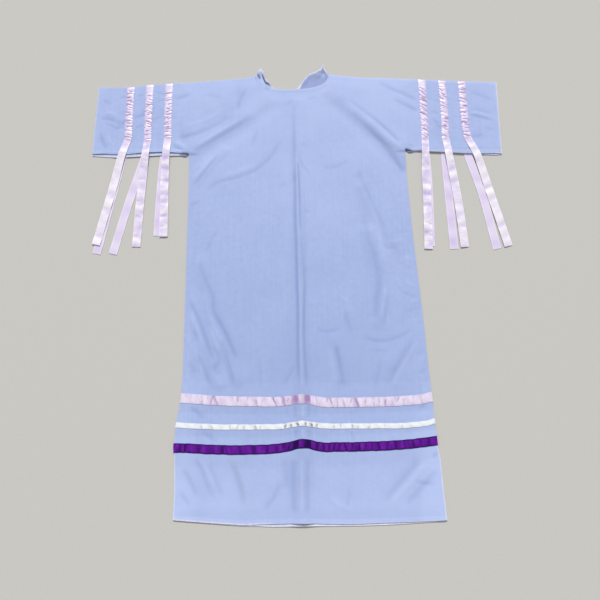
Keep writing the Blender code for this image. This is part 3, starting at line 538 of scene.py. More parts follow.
RIGHT_WRINKLES = table(
    Wrinkle.through,
    (6, 24, (222, -24, 0.5), (214, -76, 0.8), (205, -122, 0.5)),
    (7, 24, (230, -48, -0.4), (218, -108, -0.7), (206, -150, -0.6)),
    (8, 24, (114, -88, -0.5), (121, -126, -0.8), (130, -168, -0.4)),
    (9, 24, (87, -176, -0.9), (94, -216, -1.4), (101, -258, -1.2), (106, -298, -0.5)),
    (8, 24, (72, -190, 0.4), (80, -236, 0.6), (88, -296, 0.4)),
    (8, 10, (38, -146, -0.5), (70, -151, -0.6), (104, -144, -0.4)),
    (6, 24, (100, -58, 0.2), (116, -66, 0.5), (124, -82, 0.3)),
    (8, 24, (152, -164, -0.4), (186, -175, -0.7), (232, -173, -0.6), (290, -146, -0.4)),
    (6, 24, (166, -198, -0.3), (194, -202, -0.4), (226, -198, -0.2)),
    (9, 24, (292, -166, -0.4), (270, -196, -0.6), (238, -246, -0.7), (210, -298, -0.4)),
    (8, 24, (302, -172, 0.5), (274, -214, 0.7), (242, -264, 0.7), (226, -300, 0.4)),
    (8, 24, (184, -302, -0.6), (192, -262, -0.6), (202, -218, -0.3)),
    (6, 24, (244, -22, -0.3), (268, -50, -0.5), (306, -66, -0.5)),
    (5, 24, (262, 30, -0.3), (284, 16, -0.4), (305, 12, -0.4)),
    (5, 24, (268, 54, 0.3), (288, 40, 0.5), (304, 36, 0.4)),
    (6, 24, (262, -8, 0.3), (288, -30, 0.5), (308, -36, 0.4)),
    (5, 24, (262, -100, -0.3), (290, -98, -0.4), (311, -86, -0.3)),
    (6, 24, (268, -118, 0.3), (294, -122, 0.5), (313, -112, 0.4)),
    (4, 24, (276, -74, 0.3), (296, -74, 0.5), (311, -66, 0.4)),
    (5, 24, (286, -220, -0.3), (304, -206, -0.4), (317, -190, -0.4)),
    (5, 24, (290, -236, 0.3), (307, -222, 0.5), (319, -208, 0.4)),
    (5, 24, (290, -268, -0.3), (306, -254, -0.4), (320, -244, -0.4)),
    (4, 24, (-293, -98, 0.4), (-280, -112, 0.6), (-268, -136, 0.4)),
    (4, 24, (-294, -150, 0.4), (-284, -168, 0.6), (-276, -192, 0.4)),
    (4, 24, (-294, -246, 0.4), (-282, -262, 0.5), (-272, -284, 0.4)),
    (5, 6, (120, -398, -0.6), (123, -412, -0.6), (124, -428, -0.4)),
    (8, 24, (318, -330, -0.5), (300, -340, -0.7), (284, -358, -0.4)),
)
HEM_WRINKLES = table(
    Wrinkle.through,
    (9, 24, (-264, -450, -0.5), (-240, -492, -0.8), (-226, -526, -0.7), (-206, -562, -0.3)),
    (8, 24, (-250, -452, 0.4), (-226, -494, 0.6), (-208, -534, 0.4)),
    (10, 24, (-292, -474, -0.5), (-272, -508, -0.8), (-246, -556, -0.5)),
    (9, 24, (-300, -524, -0.4), (-284, -548, -0.7), (-262, -576, -0.4)),
    (10, 24, (-232, -462, -0.4), (-212, -504, -0.6), (-188, -556, -0.4)),
    (11, 24, (-176, -462, -0.4), (-156, -506, -0.7), (-140, -566, -0.4)),
    (10, 24, (-50, -508, -0.4), (-66, -546, -0.7), (-100, -588, -0.4)),
    (14, 24, (-46, -458, -0.6), (-40, -500, -0.6), (-36, -540, -0.3)),
    (12, 24, (292, -460, -0.5), (246, -508, -0.8), (190, -566, -0.5)),
    (11, 24, (304, -472, 0.6), (258, -522, 0.8), (206, -576, 0.4)),
    (12, 24, (326, -488, -0.5), (284, -534, -0.7), (238, -576, -0.4)),
    (7, 24, (262, -516, -0.5), (294, -523, -0.8), (324, -524, -0.6)),
    (8, 24, (112, -520, -0.3), (108, -560, -0.5), (100, -596, -0.3)),
    (10, 24, (60, -540, 0.3), (82, -566, 0.5), (128, -584, 0.3)),
    (6, 24, (334, -452, -0.6), (322, -458, -0.8), (312, -470, -0.4)),
)
FRONT_WRINKLES = (
    SHOULDER_WRINKLES + SLEEVE_WRINKLES + CHEST_WRINKLES + MIDDLE_WRINKLES + LEFT_WRINKLES
    + RIGHT_WRINKLES + HEM_WRINKLES
)
# Creases of the back's own layer, which shows only in the neck.
NECK_WRINKLES = table(
    Wrinkle.through,
    (4, 6, (-103, 570, 0.8), (-104, 590, 1.4), (-102, 607, 0.8)),
    (8, 8, (52, 586, 0.8), (68, 587, 1.3), (84, 580, 1)),
    (9, 10, (24, 558, 0.4), (44, 574, 0.7), (62, 580, 0.5)),
    (4, 7, (44, 553, -0.5), (56, 561, -1.1), (66, 567, -0.6)),
    (7, 8, (62, 562, -0.4), (72, 566, -0.5), (82, 572, -0.4)),
    (4, 8, (80, 598, -0.6), (85, 586, -0.6), (84, 570, -0.4)),
)
# Deep, narrow shade: the pleat in the front's neck hem, and the gap behind it.
FRONT_GAPS = table(
    Wrinkle.through,
    (2.6, 3, (-112, 594, 1), (-108, 587, 1.2), (-103, 577, 0.8)),
    (1.8, 5, (-94, 553, 0.1), (-84, 545, 0.3), (-76, 542, 0.1)),
    (4.2, 3, (-322, 353, 0.5), (-310, 351, 1.1), (-298, 349, 1.2)),
    (4.2, 3, (292, 355, 1.2), (301, 353, 1.1), (312, 350, 0.4)),
)
BACK_GAPS = table(
    Wrinkle.through,
    (5.5, 4, (-101, 592, 1.1), (-96, 580, 1.2), (-91, 567, 1.2), (-80, 561, 1), (-74, 553, 0.4)),
    (9, 2, (-328, 347, 0.2), (-316, 343, 1.3), (-304, 341, 1.6), (-294, 341, 1.6)),
    (8, 2, (290, 348, 1.6), (302, 345, 1.6), (311, 344, 1.2), (322, 347, 0.2)),
)
# Broad painted light and shade: how much brighter or duller the cloth is painted, down the dress.
WASH = table(
    WashPoint, (620, 0.65), (560, 0.65), (500, 0.55), (400, 0.40), (300, 0.34), (200, 0.20),
    (60, -0.08), (-100, -0.26), (-220, -0.50), (-300, -0.42), (-350, -0.20), (-430, 0.10), (-500, 0.48),
    (-570, 0.58), (-620, 0.55),
)

# Painted light and shade near each side seam, down the dress.
LEFT_SIDE_WASH = table(
    WashPoint, (360, -0.15), (100, -0.15), (0, 0.25), (-100, 0.30), (-205, 0.55), (-300, 0.60),
    (-490, 0.40), (-560, 0.75),
)
RIGHT_SIDE_WASH = table(
    WashPoint, (360, -0.20), (250, -0.05), (100, 0), (0, 0), (-100, 0.15), (-205, 0.35), (-300, 0.40),
    (-490, 0.60), (-560, 1.05),
)
# Patches of painted light and shade.
WASH_PATCHES = table(
    WashPatch, (-225, 452, 70, 34, -0.42), (-245, 552, 80, 15, -0.35), (-160, 535, 22, 34, -0.35),
    (-190, 485, 28, 26, -0.30), (122, 503, 22, 20, -0.30), (165, 460, 22, 22, -0.35),
    (208, 416, 24, 24, -0.35), (8, -290, 26, 22, -0.30), (30, -352, 16, 18, -0.35),
    (210, -485, 40, 40, -0.15), (-440, 460, 120, 120, -0.15), (-5, -370, 20, 105, -0.40),
    (-34, -40, 13, 230, 0.25), (28, -150, 12, 110, 0.22), (0, 20, 9, 260, -0.18),
    (88, -165, 34, 26, -0.35), (-165, 100, 75, 90, -0.12), (85, 80, 60, 60, 0.15),
    (-6, -545, 46, 95, -0.35), (205, -590, 95, 36, 0.30), (-200, -585, 55, 36, 0.15),
)

PINK_PUCKERS = table(
    Pucker, (-271, 2, 2.4, 0.5), (-243, -3, 2, 0.6), (-222, -4, 2.2, 0.8), (-212, 5, 4.6, 1.3),
    (-188, 1, 1.8, 0.4), (-157, 1, 2.4, 1.1), (-133, -1, 2.2, 1), (-111, 2, 2.2, 1.1),
    (-96, -2, 1.8, 0.5), (-66, 4, 2.6, 1.2), (-44, 4, 4.4, 1.2), (-34, -6, 1.8, 0.8),
    (-16, 2, 9.5, 1.5), (14, -1, 8.8, 1.6), (38, 2, 1.8, 0.7), (62, -3, 2.2, 1), (74, 2, 2.2, 1.1),
    (89, -1, 2, 0.8), (104, 2, 2, 0.7), (121, -5, 2, 0.6), (137, 3, 4.2, 1.4), (158, -2, 2, 0.6),
    (178, 2, 2.2, 0.9), (192, -1, 2, 0.9), (207, 1, 3, 1.2), (224, 5, 2, 0.9), (237, -5, 2.2, 0.8),
    (252, 2, 2.2, 0.6), (276, -3, 2.6, 0.6), (297, 2, 2.4, 0.4),
)
WHITE_PUCKERS = table(
    Pucker, (-246, 0, 2.5, 0.5), (-221, 1, 2.5, 0.5), (-176, 0, 2.3, 0.5), (-157, -1, 2.5, 0.7),
    (-141, 1, 2.5, 0.5), (-113, 0, 2.3, 0.7), (-101, 0, 2.3, 0.5), (-40, 1, 2.9, 1.2),
    (-26, -1, 2.9, 1.1), (-10, 0, 3.2, 1.3), (9.5, 1, 2.9, 1.2), (24, -1, 3.2, 1.2), (37, 1, 2.8, 1),
    (79, 0, 2.5, 0.5), (95, 0, 2.5, 0.5), (124, 1, 2.7, 0.8), (138, 0, 2.3, 0.5), (166, -1, 2.3, 0.5),
    (203, 0, 2.3, 0.4), (246, 1, 2.3, 0.4),
)
PURPLE_PUCKERS = table(
    Pucker, (-296, 0, 4, 0.8), (-284, 0, 3, 0.9), (-251, 2, 6, 0.5), (-215, -1, 5, 0.5),
    (-193, 1, 3.4, 0.8), (-184, 0, 3, 0.5), (-151, 2, 5, 0.5), (-118, -2, 5, 0.4), (-84, 1, 4, 0.6),
    (-62, -1, 4, 0.5), (-44, 1, 5, 0.6), (-31, 0, 4, 0.6), (-15, 0, 8, 1.25), (13.5, 0, 8.5, 1.25),
    (37, 0, 4, 0.9), (53, 0, 2.6, 0.8), (65, 1, 2.6, 0.6), (78, 0, 2.6, 0.7), (91, -1, 2.6, 0.6),
    (106, 1, 2.8, 0.8), (122, 0, 2.8, 0.7), (139, 1, 3, 0.8), (154, -1, 2.8, 0.5), (170, 0, 2.8, 0.7),
    (187, 1, 3.2, 0.7), (207, 0, 2.8, 0.5), (228, -1, 3.6, 0.7), (249, 1, 3, 0.5), (271, 0, 3.4, 0.8),
    (289, 1, 3, 0.6), (309, 0, 3.4, 0.7),
)
FRONT_STAINS = table(
    Fold,
    (-172, -466, -141, -556, 4, 13, 0.42, 0.3), (25, 104, 42, 98, 0, 11, 0.22, 0.26),
)
BACK_STAINS = table(Fold, (62, 556, 80, 571, 0, 11, 0.40, 0.34))
# Painted highlight on the turned edges of the neck and the sleeves; where boxes overlap, the first one
# counts.
FRONT_EDGES = table(
    EdgeHighlight,
    (-144, -99, 480, 700, 0.80, 3.6), (-99, -62, 480, 700, 0.12, 3.6), (-62, 0, 480, 700, 0.45, 2.6),
    (0, 116, 480, 700, 0.15, 2.6), (-600, -545, 300, 700, 0.35, 3.6), (540, 600, 300, 700, 0.85, 3.6),
    (-600, 600, 300, 700, 0.12, 3.6),
)
BACK_EDGES = table(
    EdgeHighlight,
    (-144, -60, 480, 700, 0.90, 9), (-144, 116, 600, 700, 0.90, 9), (-3, 11, 480, 700, 0.90, 9),
    (-144, 116, 480, 700, 0.90, 3.6), (-600, 600, 300, 700, 0.70, 3.6),
)
# A painted highlight on the turned-out neck flap, taken out of its painted shade.
FLAP_HIGHLIGHT = WashPatch(66, 589, 18, 6, 0.34)


@dataclass(frozen=True)
class Walls:
    """How thick the solids' walls and the cloth and ribbon shown are, and how they stack."""

    panel_step: float = 1.6
    underlay_raise: float = 1.3
    cloth: float = 0.8
    hem: float = 0.4
    ribbon: float = 0.5
    ribbon_seat: float = 0.3


@dataclass(frozen=True)
class DressPlan:
    """The outlines of the dress on the floor."""

    neck_middle: float = -14.0
    neck_half_width: float = 102.0
    neck_top: float = 590.0
    neck_depth: float = 46.0
    neck_squareness: float = 2.6
    back_neck_share: float = 0.6
    crease_peak_width: float = 35.0
    sleeve_start: float = 330.0
    underarm_start: float = 296.0
    sleeve_low: float = 300.0
    shoulder_low: float = ARMPIT.left_y + 4.0
    far: float = 1e3

    def in_front_neck(self, x: Array) -> Array:
        """Which places lie under the front's neckline."""
        return np.abs(x - self.neck_middle) < self.neck_half_width

    def scoop(self, share: Array) -> Array:
        """How deep the neckline is at a share of its half width, from 1 in the middle to 0."""
        return (1.0 - share**self.neck_squareness) ** (1.0 / self.neck_squareness)

    def front_top(self, x: Array) -> Array:
        """The front's top edge: the shoulder line, with the neckline cut out of it.

        Args:
            x: places across.

        Returns:
            The edge's y at each x.
        """
        share = np.minimum(1.0, np.abs(x - self.neck_middle) / self.neck_half_width)
        neck = self.neck_top - self.neck_depth * self.scoop(share)
        neck = np.where(within(NECK_RUFFLE, x), np.maximum(neck, read(NECK_RUFFLE, x)), neck)
        return np.where(share < 1.0, neck, read(TOP_EDGE, x))

    def back_top(self, x: Array) -> Array:
        """The back's top edge, with its neckline."""
        return np.where(within(BACK_NECK, x), read(BACK_NECK, x), read(TOP_EDGE, x))

    def underarm(self, layer: Layer, x: Array) -> Array:
        """The lower edge of the sleeves, and the armpit line between them."""
        return read(FRONT_UNDERARM if layer is Layer.FRONT else BACK_UNDERARM, x)

    def side_x(self, side: Side, y: Array) -> Array:
        """Where a side seam lies."""
        return read(LEFT_SIDE if side is Side.LEFT else RIGHT_SIDE, y, "y", "x")

    def side_distance(self, x: Array, y: Array) -> Array:
        """How far a point lies from the nearer side seam."""
        return np.minimum(x - self.side_x(Side.LEFT, y), self.side_x(Side.RIGHT, y) - x)

    def cuff_x(self, side: Side, y: Array) -> Array:
        """Where a sleeve's end lies.

        Args:
            side: which sleeve.
            y: places along.

        Returns:
            The end's x at each y.
        """
        cuff = LEFT_CUFF if side is Side.LEFT else RIGHT_CUFF
        low, high = self.underarm(Layer.FRONT, cuff.armpit_x), read(TOP_EDGE, cuff.top_x)
        return mix(cuff.armpit_x, cuff.top_x, (y - low) / (high - low))

    def rows_y(self, rows: Array, x: Array, left_x: Array, right_x: Array) -> Array:
        """How far up the skirt rows lie.

        Args:
            rows: an array whose last axis has a row's four columns.
            x: the places across.
            left_x: where the rows start.
            right_x: where the rows end.

        Returns:
            The rows' y at each x.
        """
        left_y, right_y, sag, peak = np.moveaxis(rows, -1, 0)
        along = (x - left_x) / (right_x - left_x)
        middle = read(CREASE, (left_y + right_y) / 2, "y", "x")
        rise = peak * bell((x - middle) / self.crease_peak_width)
        return mix(left_y, right_y, along) + sag * (1.0 - (2.0 * along - 1.0) ** 2) + rise

    def row_y(self, row: Row, x: Array) -> Array:
        """How far up the skirt one row lies at x."""
        left, right = self.side_x(Side.LEFT, row.left_y), self.side_x(Side.RIGHT, row.right_y)
        return self.rows_y(np.array(row), x, left, right)

    def hem_y(self, layer: Layer, x: Array) -> Array:
        """Where a layer's hem lies; the back's peeks out from under the front's.

        Args:
            layer: which layer.
            x: places across.

        Returns:
            The hem's y at each x.
        """
        if layer is Layer.FRONT:
            return self.row_y(HEM, x) + read(FRONT_HEM_RISE, x)
        return self.row_y(HEM, x) + read(BACK_HEM_RISE, x) - read(BACK_HEM_PEEK, x)

    def rows_plan(self, rows: Array, shares: Array) -> Array:
        """The plan points of rows across the skirt.

        Args:
            rows: the rows, one a line.
            shares: places from -1 at the left side, through 0 at the crease, to 1 at the right.

        Returns:
            Points as rows by shares by two.
        """
        rows = rows[:, None, :]
        left = self.side_x(Side.LEFT, rows[..., 0])
        right = self.side_x(Side.RIGHT, rows[..., 1])
        middle = read(CREASE, (rows[..., 0] + rows[..., 1]) / 2, "y", "x")
        x = np.where(shares < 0, mix(middle, left, -shares), mix(middle, right, shares))
        return np.stack([x, self.rows_y(rows, x, left, right)], axis=-1)

    def neck_distance(self, x: Array, y: Array) -> Array:
        """How far a point lies from the front's neckline, measured square to that line."""
        slope = (self.front_top(x + 1.0) - self.front_top(x - 1.0)) / 2.0
        return (self.front_top(x) - y) / np.sqrt(1.0 + slope**2)

    def seam_distance(self, x: Array, y: Array) -> Array:
        """Measures how far points of the front's body are from its nearest seam or edge.

        Args:
            x, y: the points.

        Returns:
            The distance of each point.
        """
        top = self.front_top(x) - y
        low = np.minimum(self.side_distance(x, y), y - self.hem_y(Layer.FRONT, x))
        sleeve = self.sleeve_start - np.abs(x)
        return np.minimum(np.where(y > ARMPIT.left_y, sleeve, low), top)

    def closed_seam_distance(self, x: Array, y: Array) -> Array:
        """Measures how far points are from where front and back are joined: sides and shoulders.

        Args:
            x, y: the points.

        Returns:
            The distance of each point.
        """
        off_neck = np.abs(x - self.neck_middle) > self.neck_half_width
        shoulder = np.where(off_neck, read(TOP_EDGE, x) - y, self.far)
        return np.where(y > self.shoulder_low, shoulder, self.side_distance(x, y))

    def open_edge_distance(self, layer: Layer, x: Array, y: Array) -> Array:
        """Measures how far points are from the nearest hemmed edge: hem, neck or sleeve.

        Args:
            layer: the layer that the points are on.
            x: their places across.
            y: their places along.

        Returns:
            The distance of each point.
        """
        near = y - self.hem_y(layer, x)
        if layer is Layer.BACK:
            inside, neck = within(BACK_NECK, x), self.back_neck_share * (self.back_top(x) - y)
        else:
            inside, neck = self.in_front_neck(x), self.neck_distance(x, y)
        near = np.where(inside, np.minimum(near, neck), near)
        high = y > self.sleeve_low
        under = high & (np.abs(x) > self.underarm_start)
        edges = (
            (under, np.abs(y - self.underarm(layer, x))),
            (high, x - self.cuff_x(Side.LEFT, y)),
            (high, self.cuff_x(Side.RIGHT, y) - x),
        )
        return np.minimum.reduce([near] + [np.where(on, away, self.far) for on, away in edges])


@dataclass(frozen=True)
class Surface:
    """What the cloth's form gives at each point: its height, and the painted shade and highlight of its
    creases.
    """

    height: Array
    tone: Array


@dataclass(frozen=True)
class DressForm:
    """How high the layers of the dress lie, from the shapes of what is under them and their folds."""

    plan: DressPlan
    bands: Sequence["BandSize"]
    walls: Walls = Walls()
    crease_hem_lift: float = 2.2
    crease_hem_width: float = 30.0
    crease_hem_start: float = -575.0
    crease_hem_run: float = 40.0
    side_ramp: float = 8.0
    soft_ramp: float = 30.0
    sleeve_ramp: float = 14.0
    ramp_clearance: float = 1.0
    shelf_inner: float = 333.0
    shelf_outer: float = 497.0
    billow: float = 1.6
    billow_run: float = 40.0
    open_edge_lift: float = 1.1
    open_edge_run: float = 45.0
    neck_lift: float = 0.8
    neck_lift_run: float = 28.0
    seam_roll: float = 7.0
    core_share: float = 0.7
    skirt_reach: float = 2.5
    # How much painted shade the fine creases' troughs get and painted highlight their ridges, on the front
    # and in the neck:
    trough_tone: float = 0.60
    ridge_tone: float = 0.50
    neck_tone: float = 0.45
    deepest: float = -0.55
    fold_share: float = 0.70
    # Painted shade on the main folds' ridges and painted light in their troughs:
    fold_tone: float = -0.02
    held_share: float = 0.25
    drift: float = 0.36
    drift_waves: int = 9
    seed: int = 4
    sleeve_tucks: int = 9
    sleeve_tuck_top: float = 545.0
    sleeve_tuck_start: float = 8.5

    def band_raise(self, x: Array, y: Array, ramp: float) -> Array:
        """Finds how far the ribbons behind the skirt lift the cloth.

        Args:
            x, y: the points.
            ramp: how long the cloth's slope beside a ribbon is.

        Returns:
            The lift of each point.
        """
        height = np.zeros_like(x)
        for band in self.bands:
            away = np.abs(y - self.plan.row_y(band.row, x)) - band.width / 2 - self.ramp_clearance
            share = 1.0 - np.clip(away / ramp, 0.0, 1.0)
            height = np.maximum(height, self.walls.underlay_raise * share)
        return height

    def shelf_raise(self, x: Array) -> Array:
        """How far the ribbons behind a sleeve lift it from the floor."""
        away = np.maximum(np.maximum(self.shelf_inner - np.abs(x), np.abs(x) - self.shelf_outer), 0.0)
        return self.walls.underlay_raise * (1.0 - np.minimum(1.0, away / self.sleeve_ramp))

    def neck_curl(self, x: Array, y: Array) -> Array:
        """How far the back's neck edge curls up, which fades away from that edge."""
        fade = soft_step(1.0 - (self.plan.back_top(x) - y) / self.neck_lift_run)
        return np.where(within(BACK_NECK, x), read(BACK_NECK, x, "x", "lift") * fade, 0.0)

    def back_under(self, x: Array, y: Array, ramp: float) -> Array:
        """The height of the back's underside.

        Args:
            x, y: the points.
            ramp: how long the slopes beside the ribbons are.

        Returns:
            The height of each point.
        """
        below = y < self.plan.underarm(Layer.BACK, x) - self.billow_run
        near_hem = soft_step((self.crease_hem_start - y) / self.crease_hem_run)
        lift = self.crease_hem_lift * bell(x / self.crease_hem_width) * near_hem
        skirt = self.band_raise(x, y, ramp) + lift
        return np.where(below, skirt, self.shelf_raise(x) + self.neck_curl(x, y))

    def fold(self, fold: Fold, x: Array, y: Array) -> Array:
        """Works out what one fold adds.

        Args:
            fold: the fold.
            x, y: the points.

        Returns:
            The rise of each point.
        """
        added = np.zeros_like(x)
        ends = np.array([[fold.x0, fold.y0], [fold.x1, fold.y1]], float)
        near = close_to(x, y, ends, fold.half_width * 2.0 + abs(fold.bow))
        run_x, run_y = fold.x1 - fold.x0, fold.y1 - fold.y0
        length = math.hypot(run_x, run_y)
        px, py = x[near] - fold.x0, y[near] - fold.y0
        along = (px * run_x + py * run_y) / length
        across = (py * run_x - px * run_y) / length
        t = np.clip(along / length, 0.0, 1.0)
        beside = across - fold.bow * 4.0 * t * (1.0 - t)
        half_width = fold.half_width * np.where(beside > 0.0, fold.far_reach, fold.near_reach)
        past_end = np.maximum(0.0, np.maximum(-along, along - length))
        profile = hump(np.abs(beside) / half_width) * soft_step(1.0 - past_end / fold.half_width)
        added[near] = mix(fold.start, fold.end, t) * profile
        return added

    def tucks(self) -> list[Wrinkle]:
        """Draws the short, faint tucks where the sleeve ribbons and the pink ribbon gather the cloth.

        Returns:
            The tucks, as wrinkles.
        """
        draw, made = np.random.default_rng(self.seed), []
        for ribbon in SLEEVE_RIBBONS:
            for side in [-1.0] * self.sleeve_tucks + [1.0] * self.sleeve_tucks:
                y = draw.uniform(ribbon.tack_y + 6.0, self.sleeve_tuck_top)
                x, long = ribbon.x + side * self.sleeve_tuck_start, side * draw.uniform(12.0, 26.0)
                rise, tilt = draw.choice((-0.45, -0.35, 0.35)), draw.uniform(-6.0, 6.0)
                stops = ((x, y, rise), (x + 0.5 * long, y + 0.4 * tilt, 0.8 * rise),
                         (x + long, y + tilt, 0.1 * rise))
                made.append(Wrinkle(draw.uniform(2.4, 3.6), 5.0, stops))
        pink = self.bands[0]
        for pucker in pink.puckers:
            for side in (-1.0, 1.0):
                y = float(self.plan.row_y(pink.row, pucker.x)) + side * (0.5 * pink.width + 5.0)
                long = side * draw.uniform(8.0, 20.0)
                stops = ((pucker.x, y, -0.3), (pucker.x + draw.uniform(-2.0, 2.0), y + long, -0.1))
                made.append(Wrinkle(draw.uniform(2.4, 4.0), 6.0, stops))
        return made

    def wrinkle(self, wrinkle: Wrinkle, x: Array, y: Array) -> Array:
        """Works out what one wrinkle adds: a crisp core with a soft skirt on either side.

        Args:
            wrinkle: the wrinkle.
            x, y: the points.

        Returns:
            The rise of each point.
        """
        added, line = np.zeros_like(x), wrinkle.line()
        reach = wrinkle.half_width * self.skirt_reach
        near = close_to(x, y, line, reach)
        if not near.any():
            return added
        apart = (x[near][:, None] - line[:, 0]) ** 2 + (y[near][:, None] - line[:, 1]) ** 2
        nearest = np.argmin(apart, axis=1)
        away = np.sqrt(apart[np.arange(len(nearest)), nearest])
        profile = mix(hump(away / reach), hump(away / wrinkle.half_width), self.core_share)
        added[near] = line[nearest, 2] * profile
        return added

    def crease(self, x: Array, y: Array) -> Array:
        """What the long crease adds to the front."""
        away = np.abs(x - read(CREASE, y, "y", "x")) / read(CREASE, y, "y", "half_width")
        return read(CREASE, y, "y", "height") * hump(away)

    def edge_lift(self, x: Array, y: Array) -> Array:
        """Finds how far the front's open edges, under the sleeves and at the neck, stand up.

        Args:
            x, y: the points.

        Returns:
            The lift of each point.
        """
        start = COLUMN_FAN[-1].armpit_x
        above = y - self.plan.underarm(Layer.FRONT, x)
        reach = soft_step((np.abs(x) - start) / self.open_edge_run)
        sleeve = self.open_edge_lift * reach * soft_step(1.0 - above / self.open_edge_run)
        calm = 0.3 + 0.7 * soft_step((x - NECK_RUFFLE[-1].x + 10.0) / 30.0)
        neck = self.neck_lift * soft_step(1.0 - (self.plan.front_top(x) - y) / self.neck_lift_run)
        return sleeve + np.where(self.plan.in_front_neck(x), neck * calm, 0.0)

    def drifting(self, x: Array, y: Array) -> Array:
        """Draws the broad, shallow waves that keep the cloth from lying dead flat.

        Args:
            x, y: the points.

        Returns:
            The rise of each point.
        """
        draw = np.random.default_rng(self.seed)
        height = np.zeros_like(x)
        for _ in range(self.drift_waves):
            angle, length = draw.uniform(0.0, math.pi), draw.uniform(70.0, 190.0)
            turn = (x * math.cos(angle) + y * math.sin(angle)) * 2.0 * math.pi / length
            height += draw.uniform(0.3, 1.0) * np.sin(turn + draw.uniform(0.0, 6.28))
        return self.drift * height / 3.0

    def front(self, x: Array, y: Array) -> Surface:
        """Works out the front's underside, with its fine creases and their painted shade and highlight.

        Args:
            x, y: the points.

        Returns:
            The surface there.
        """
        off_seam = self.plan.seam_distance(x, y)
        inside = soft_step(off_seam / self.billow_run)
        folds = self.fold_share * sum(self.fold(fold, x, y) for fold in MAIN_FOLDS)
        soft = np.maximum(0.0, inside * (self.billow + folds) + self.crease(x, y))
        fine, tone = np.zeros_like(x), np.zeros_like(x)
        for wrinkle in FRONT_WRINKLES + tuple(self.tucks()):
            added = self.wrinkle(wrinkle, x, y)
            fine += added
            # Painted shade in the troughs, painted highlight on the ridges.
            tone += np.where(added < 0, self.trough_tone, self.ridge_tone) * added
        joined = soft_step(1.0 - self.plan.closed_seam_distance(x, y) / self.seam_roll)
        roll = (self.walls.panel_step - self.walls.cloth - 0.1) * joined
        base = self.back_under(x, y, self.soft_ramp) + self.walls.panel_step
        calm = self.under_band(x, y)
        fine = fine * calm + self.drifting(x, y) * soft_step(off_seam / 30.0)
        rise = np.maximum(soft + fine, self.deepest * (1.0 - joined))
        height = base + self.edge_lift(x, y) - roll + rise
        return Surface(height, tone * calm + self.fold_tone * folds * inside)

    def under_band(self, x: Array, y: Array) -> Array:
        """Finds where a skirt ribbon is sewn over the cloth and holds it flat.

        Args:
            x, y: the points.

        Returns:
            1 on open cloth, less under a ribbon.
        """
        calm = np.ones_like(x)
        for band in self.bands:
            away = np.abs(y - self.plan.row_y(band.row, x) - band.shift(x)) - band.width / 2
            calm = np.minimum(calm, mix(self.held_share, 1.0, soft_step(away / 6.0)))
        return calm

    def back(self, x: Array, y: Array) -> Surface:
        """The back's underside, with the creases that show in the neck and their painted shade and
        highlight.
        """
        fine = sum(self.wrinkle(wrinkle, x, y) for wrinkle in NECK_WRINKLES)
        return Surface(self.back_under(x, y, self.side_ramp) + np.maximum(0.0, fine), self.neck_tone * fine)

    def front_top(self, x: Array, y: Array) -> Array:
        """The height of the front's upper face."""
        return self.front(x, y).height + self.walls.cloth


# A pinch runs right across, from one edge inwards, or only in the middle.
PINCH_REACHES = table(
    Reach, (-0.80, 0.80), (-0.80, 0.16), (-0.18, 0.80), (-0.36, 0.32), (-0.80, 0.38), (-0.40, 0.80),
)


@dataclass(frozen=True)
class BandSize:
    """A ribbon sewn round the skirt: its line, its cut width and its puckers."""

    name: str
    row: Row
    width: float
    satin: Satin
    puckers: Sequence[Pucker]
    crown: float
    # edge_tone is the selvage with painted contact shadow; pinch_tone is the painted shade in the puckers:
    edge_tone: float = 0.0
    reaches: Sequence[Reach] = (Reach(-0.85, 0.85),)
    faint_creases: int = 0
    pinch_tone: float = 0.80
    settled: Sequence[Point] = (Point(0.0, 0.0),)
    held: str = "laid"

    def shift(self, x: Array) -> Array:
        """How far up from its line the ribbon has settled at x, in front."""
        return read(self.settled, x)


BANDS = (
    BandSize("skirt_ribbon_pink", Row(-311.8, -317.0, -7.5, 8.0), 23.5, Satin.PINK, PINK_PUCKERS, 0.8,
             reaches=PINCH_REACHES, faint_creases=90, pinch_tone=0.58, settled=table(
                 Point, (-290, 0), (-200, -3.3), (-30, -3.1), (45, -5.6), (160, -6.4), (240, -7),
                 (315, -3.8))),
    BandSize("skirt_ribbon_white", Row(-376.7, -375.7, -8.0, 7.0), 12.7, Satin.WHITE, WHITE_PUCKERS, 0.45,
             reaches=(Reach(-0.66, 0.42),), faint_creases=30, pinch_tone=0.70, settled=table(
                 Point, (-290, -0.8), (-200, -2.2), (-110, -1), (0, 0), (110, -1.8), (190, -4.4),
                 (250, -7), (315, -4.2))),
    BandSize("skirt_ribbon_purple", Row(-431.6, -422.5, -12.5, 12.0), 22.5, Satin.PURPLE,
             PURPLE_PUCKERS, 0.8, edge_tone=-0.85, faint_creases=50, pinch_tone=0.90, settled=table(
                 Point, (-290, 1.2), (-180, -0.2), (-110, 1.4), (-50, 3.8), (5, 2.2), (80, 3.3),
                 (160, 0.4), (236, -1.8), (315, -1))),
)


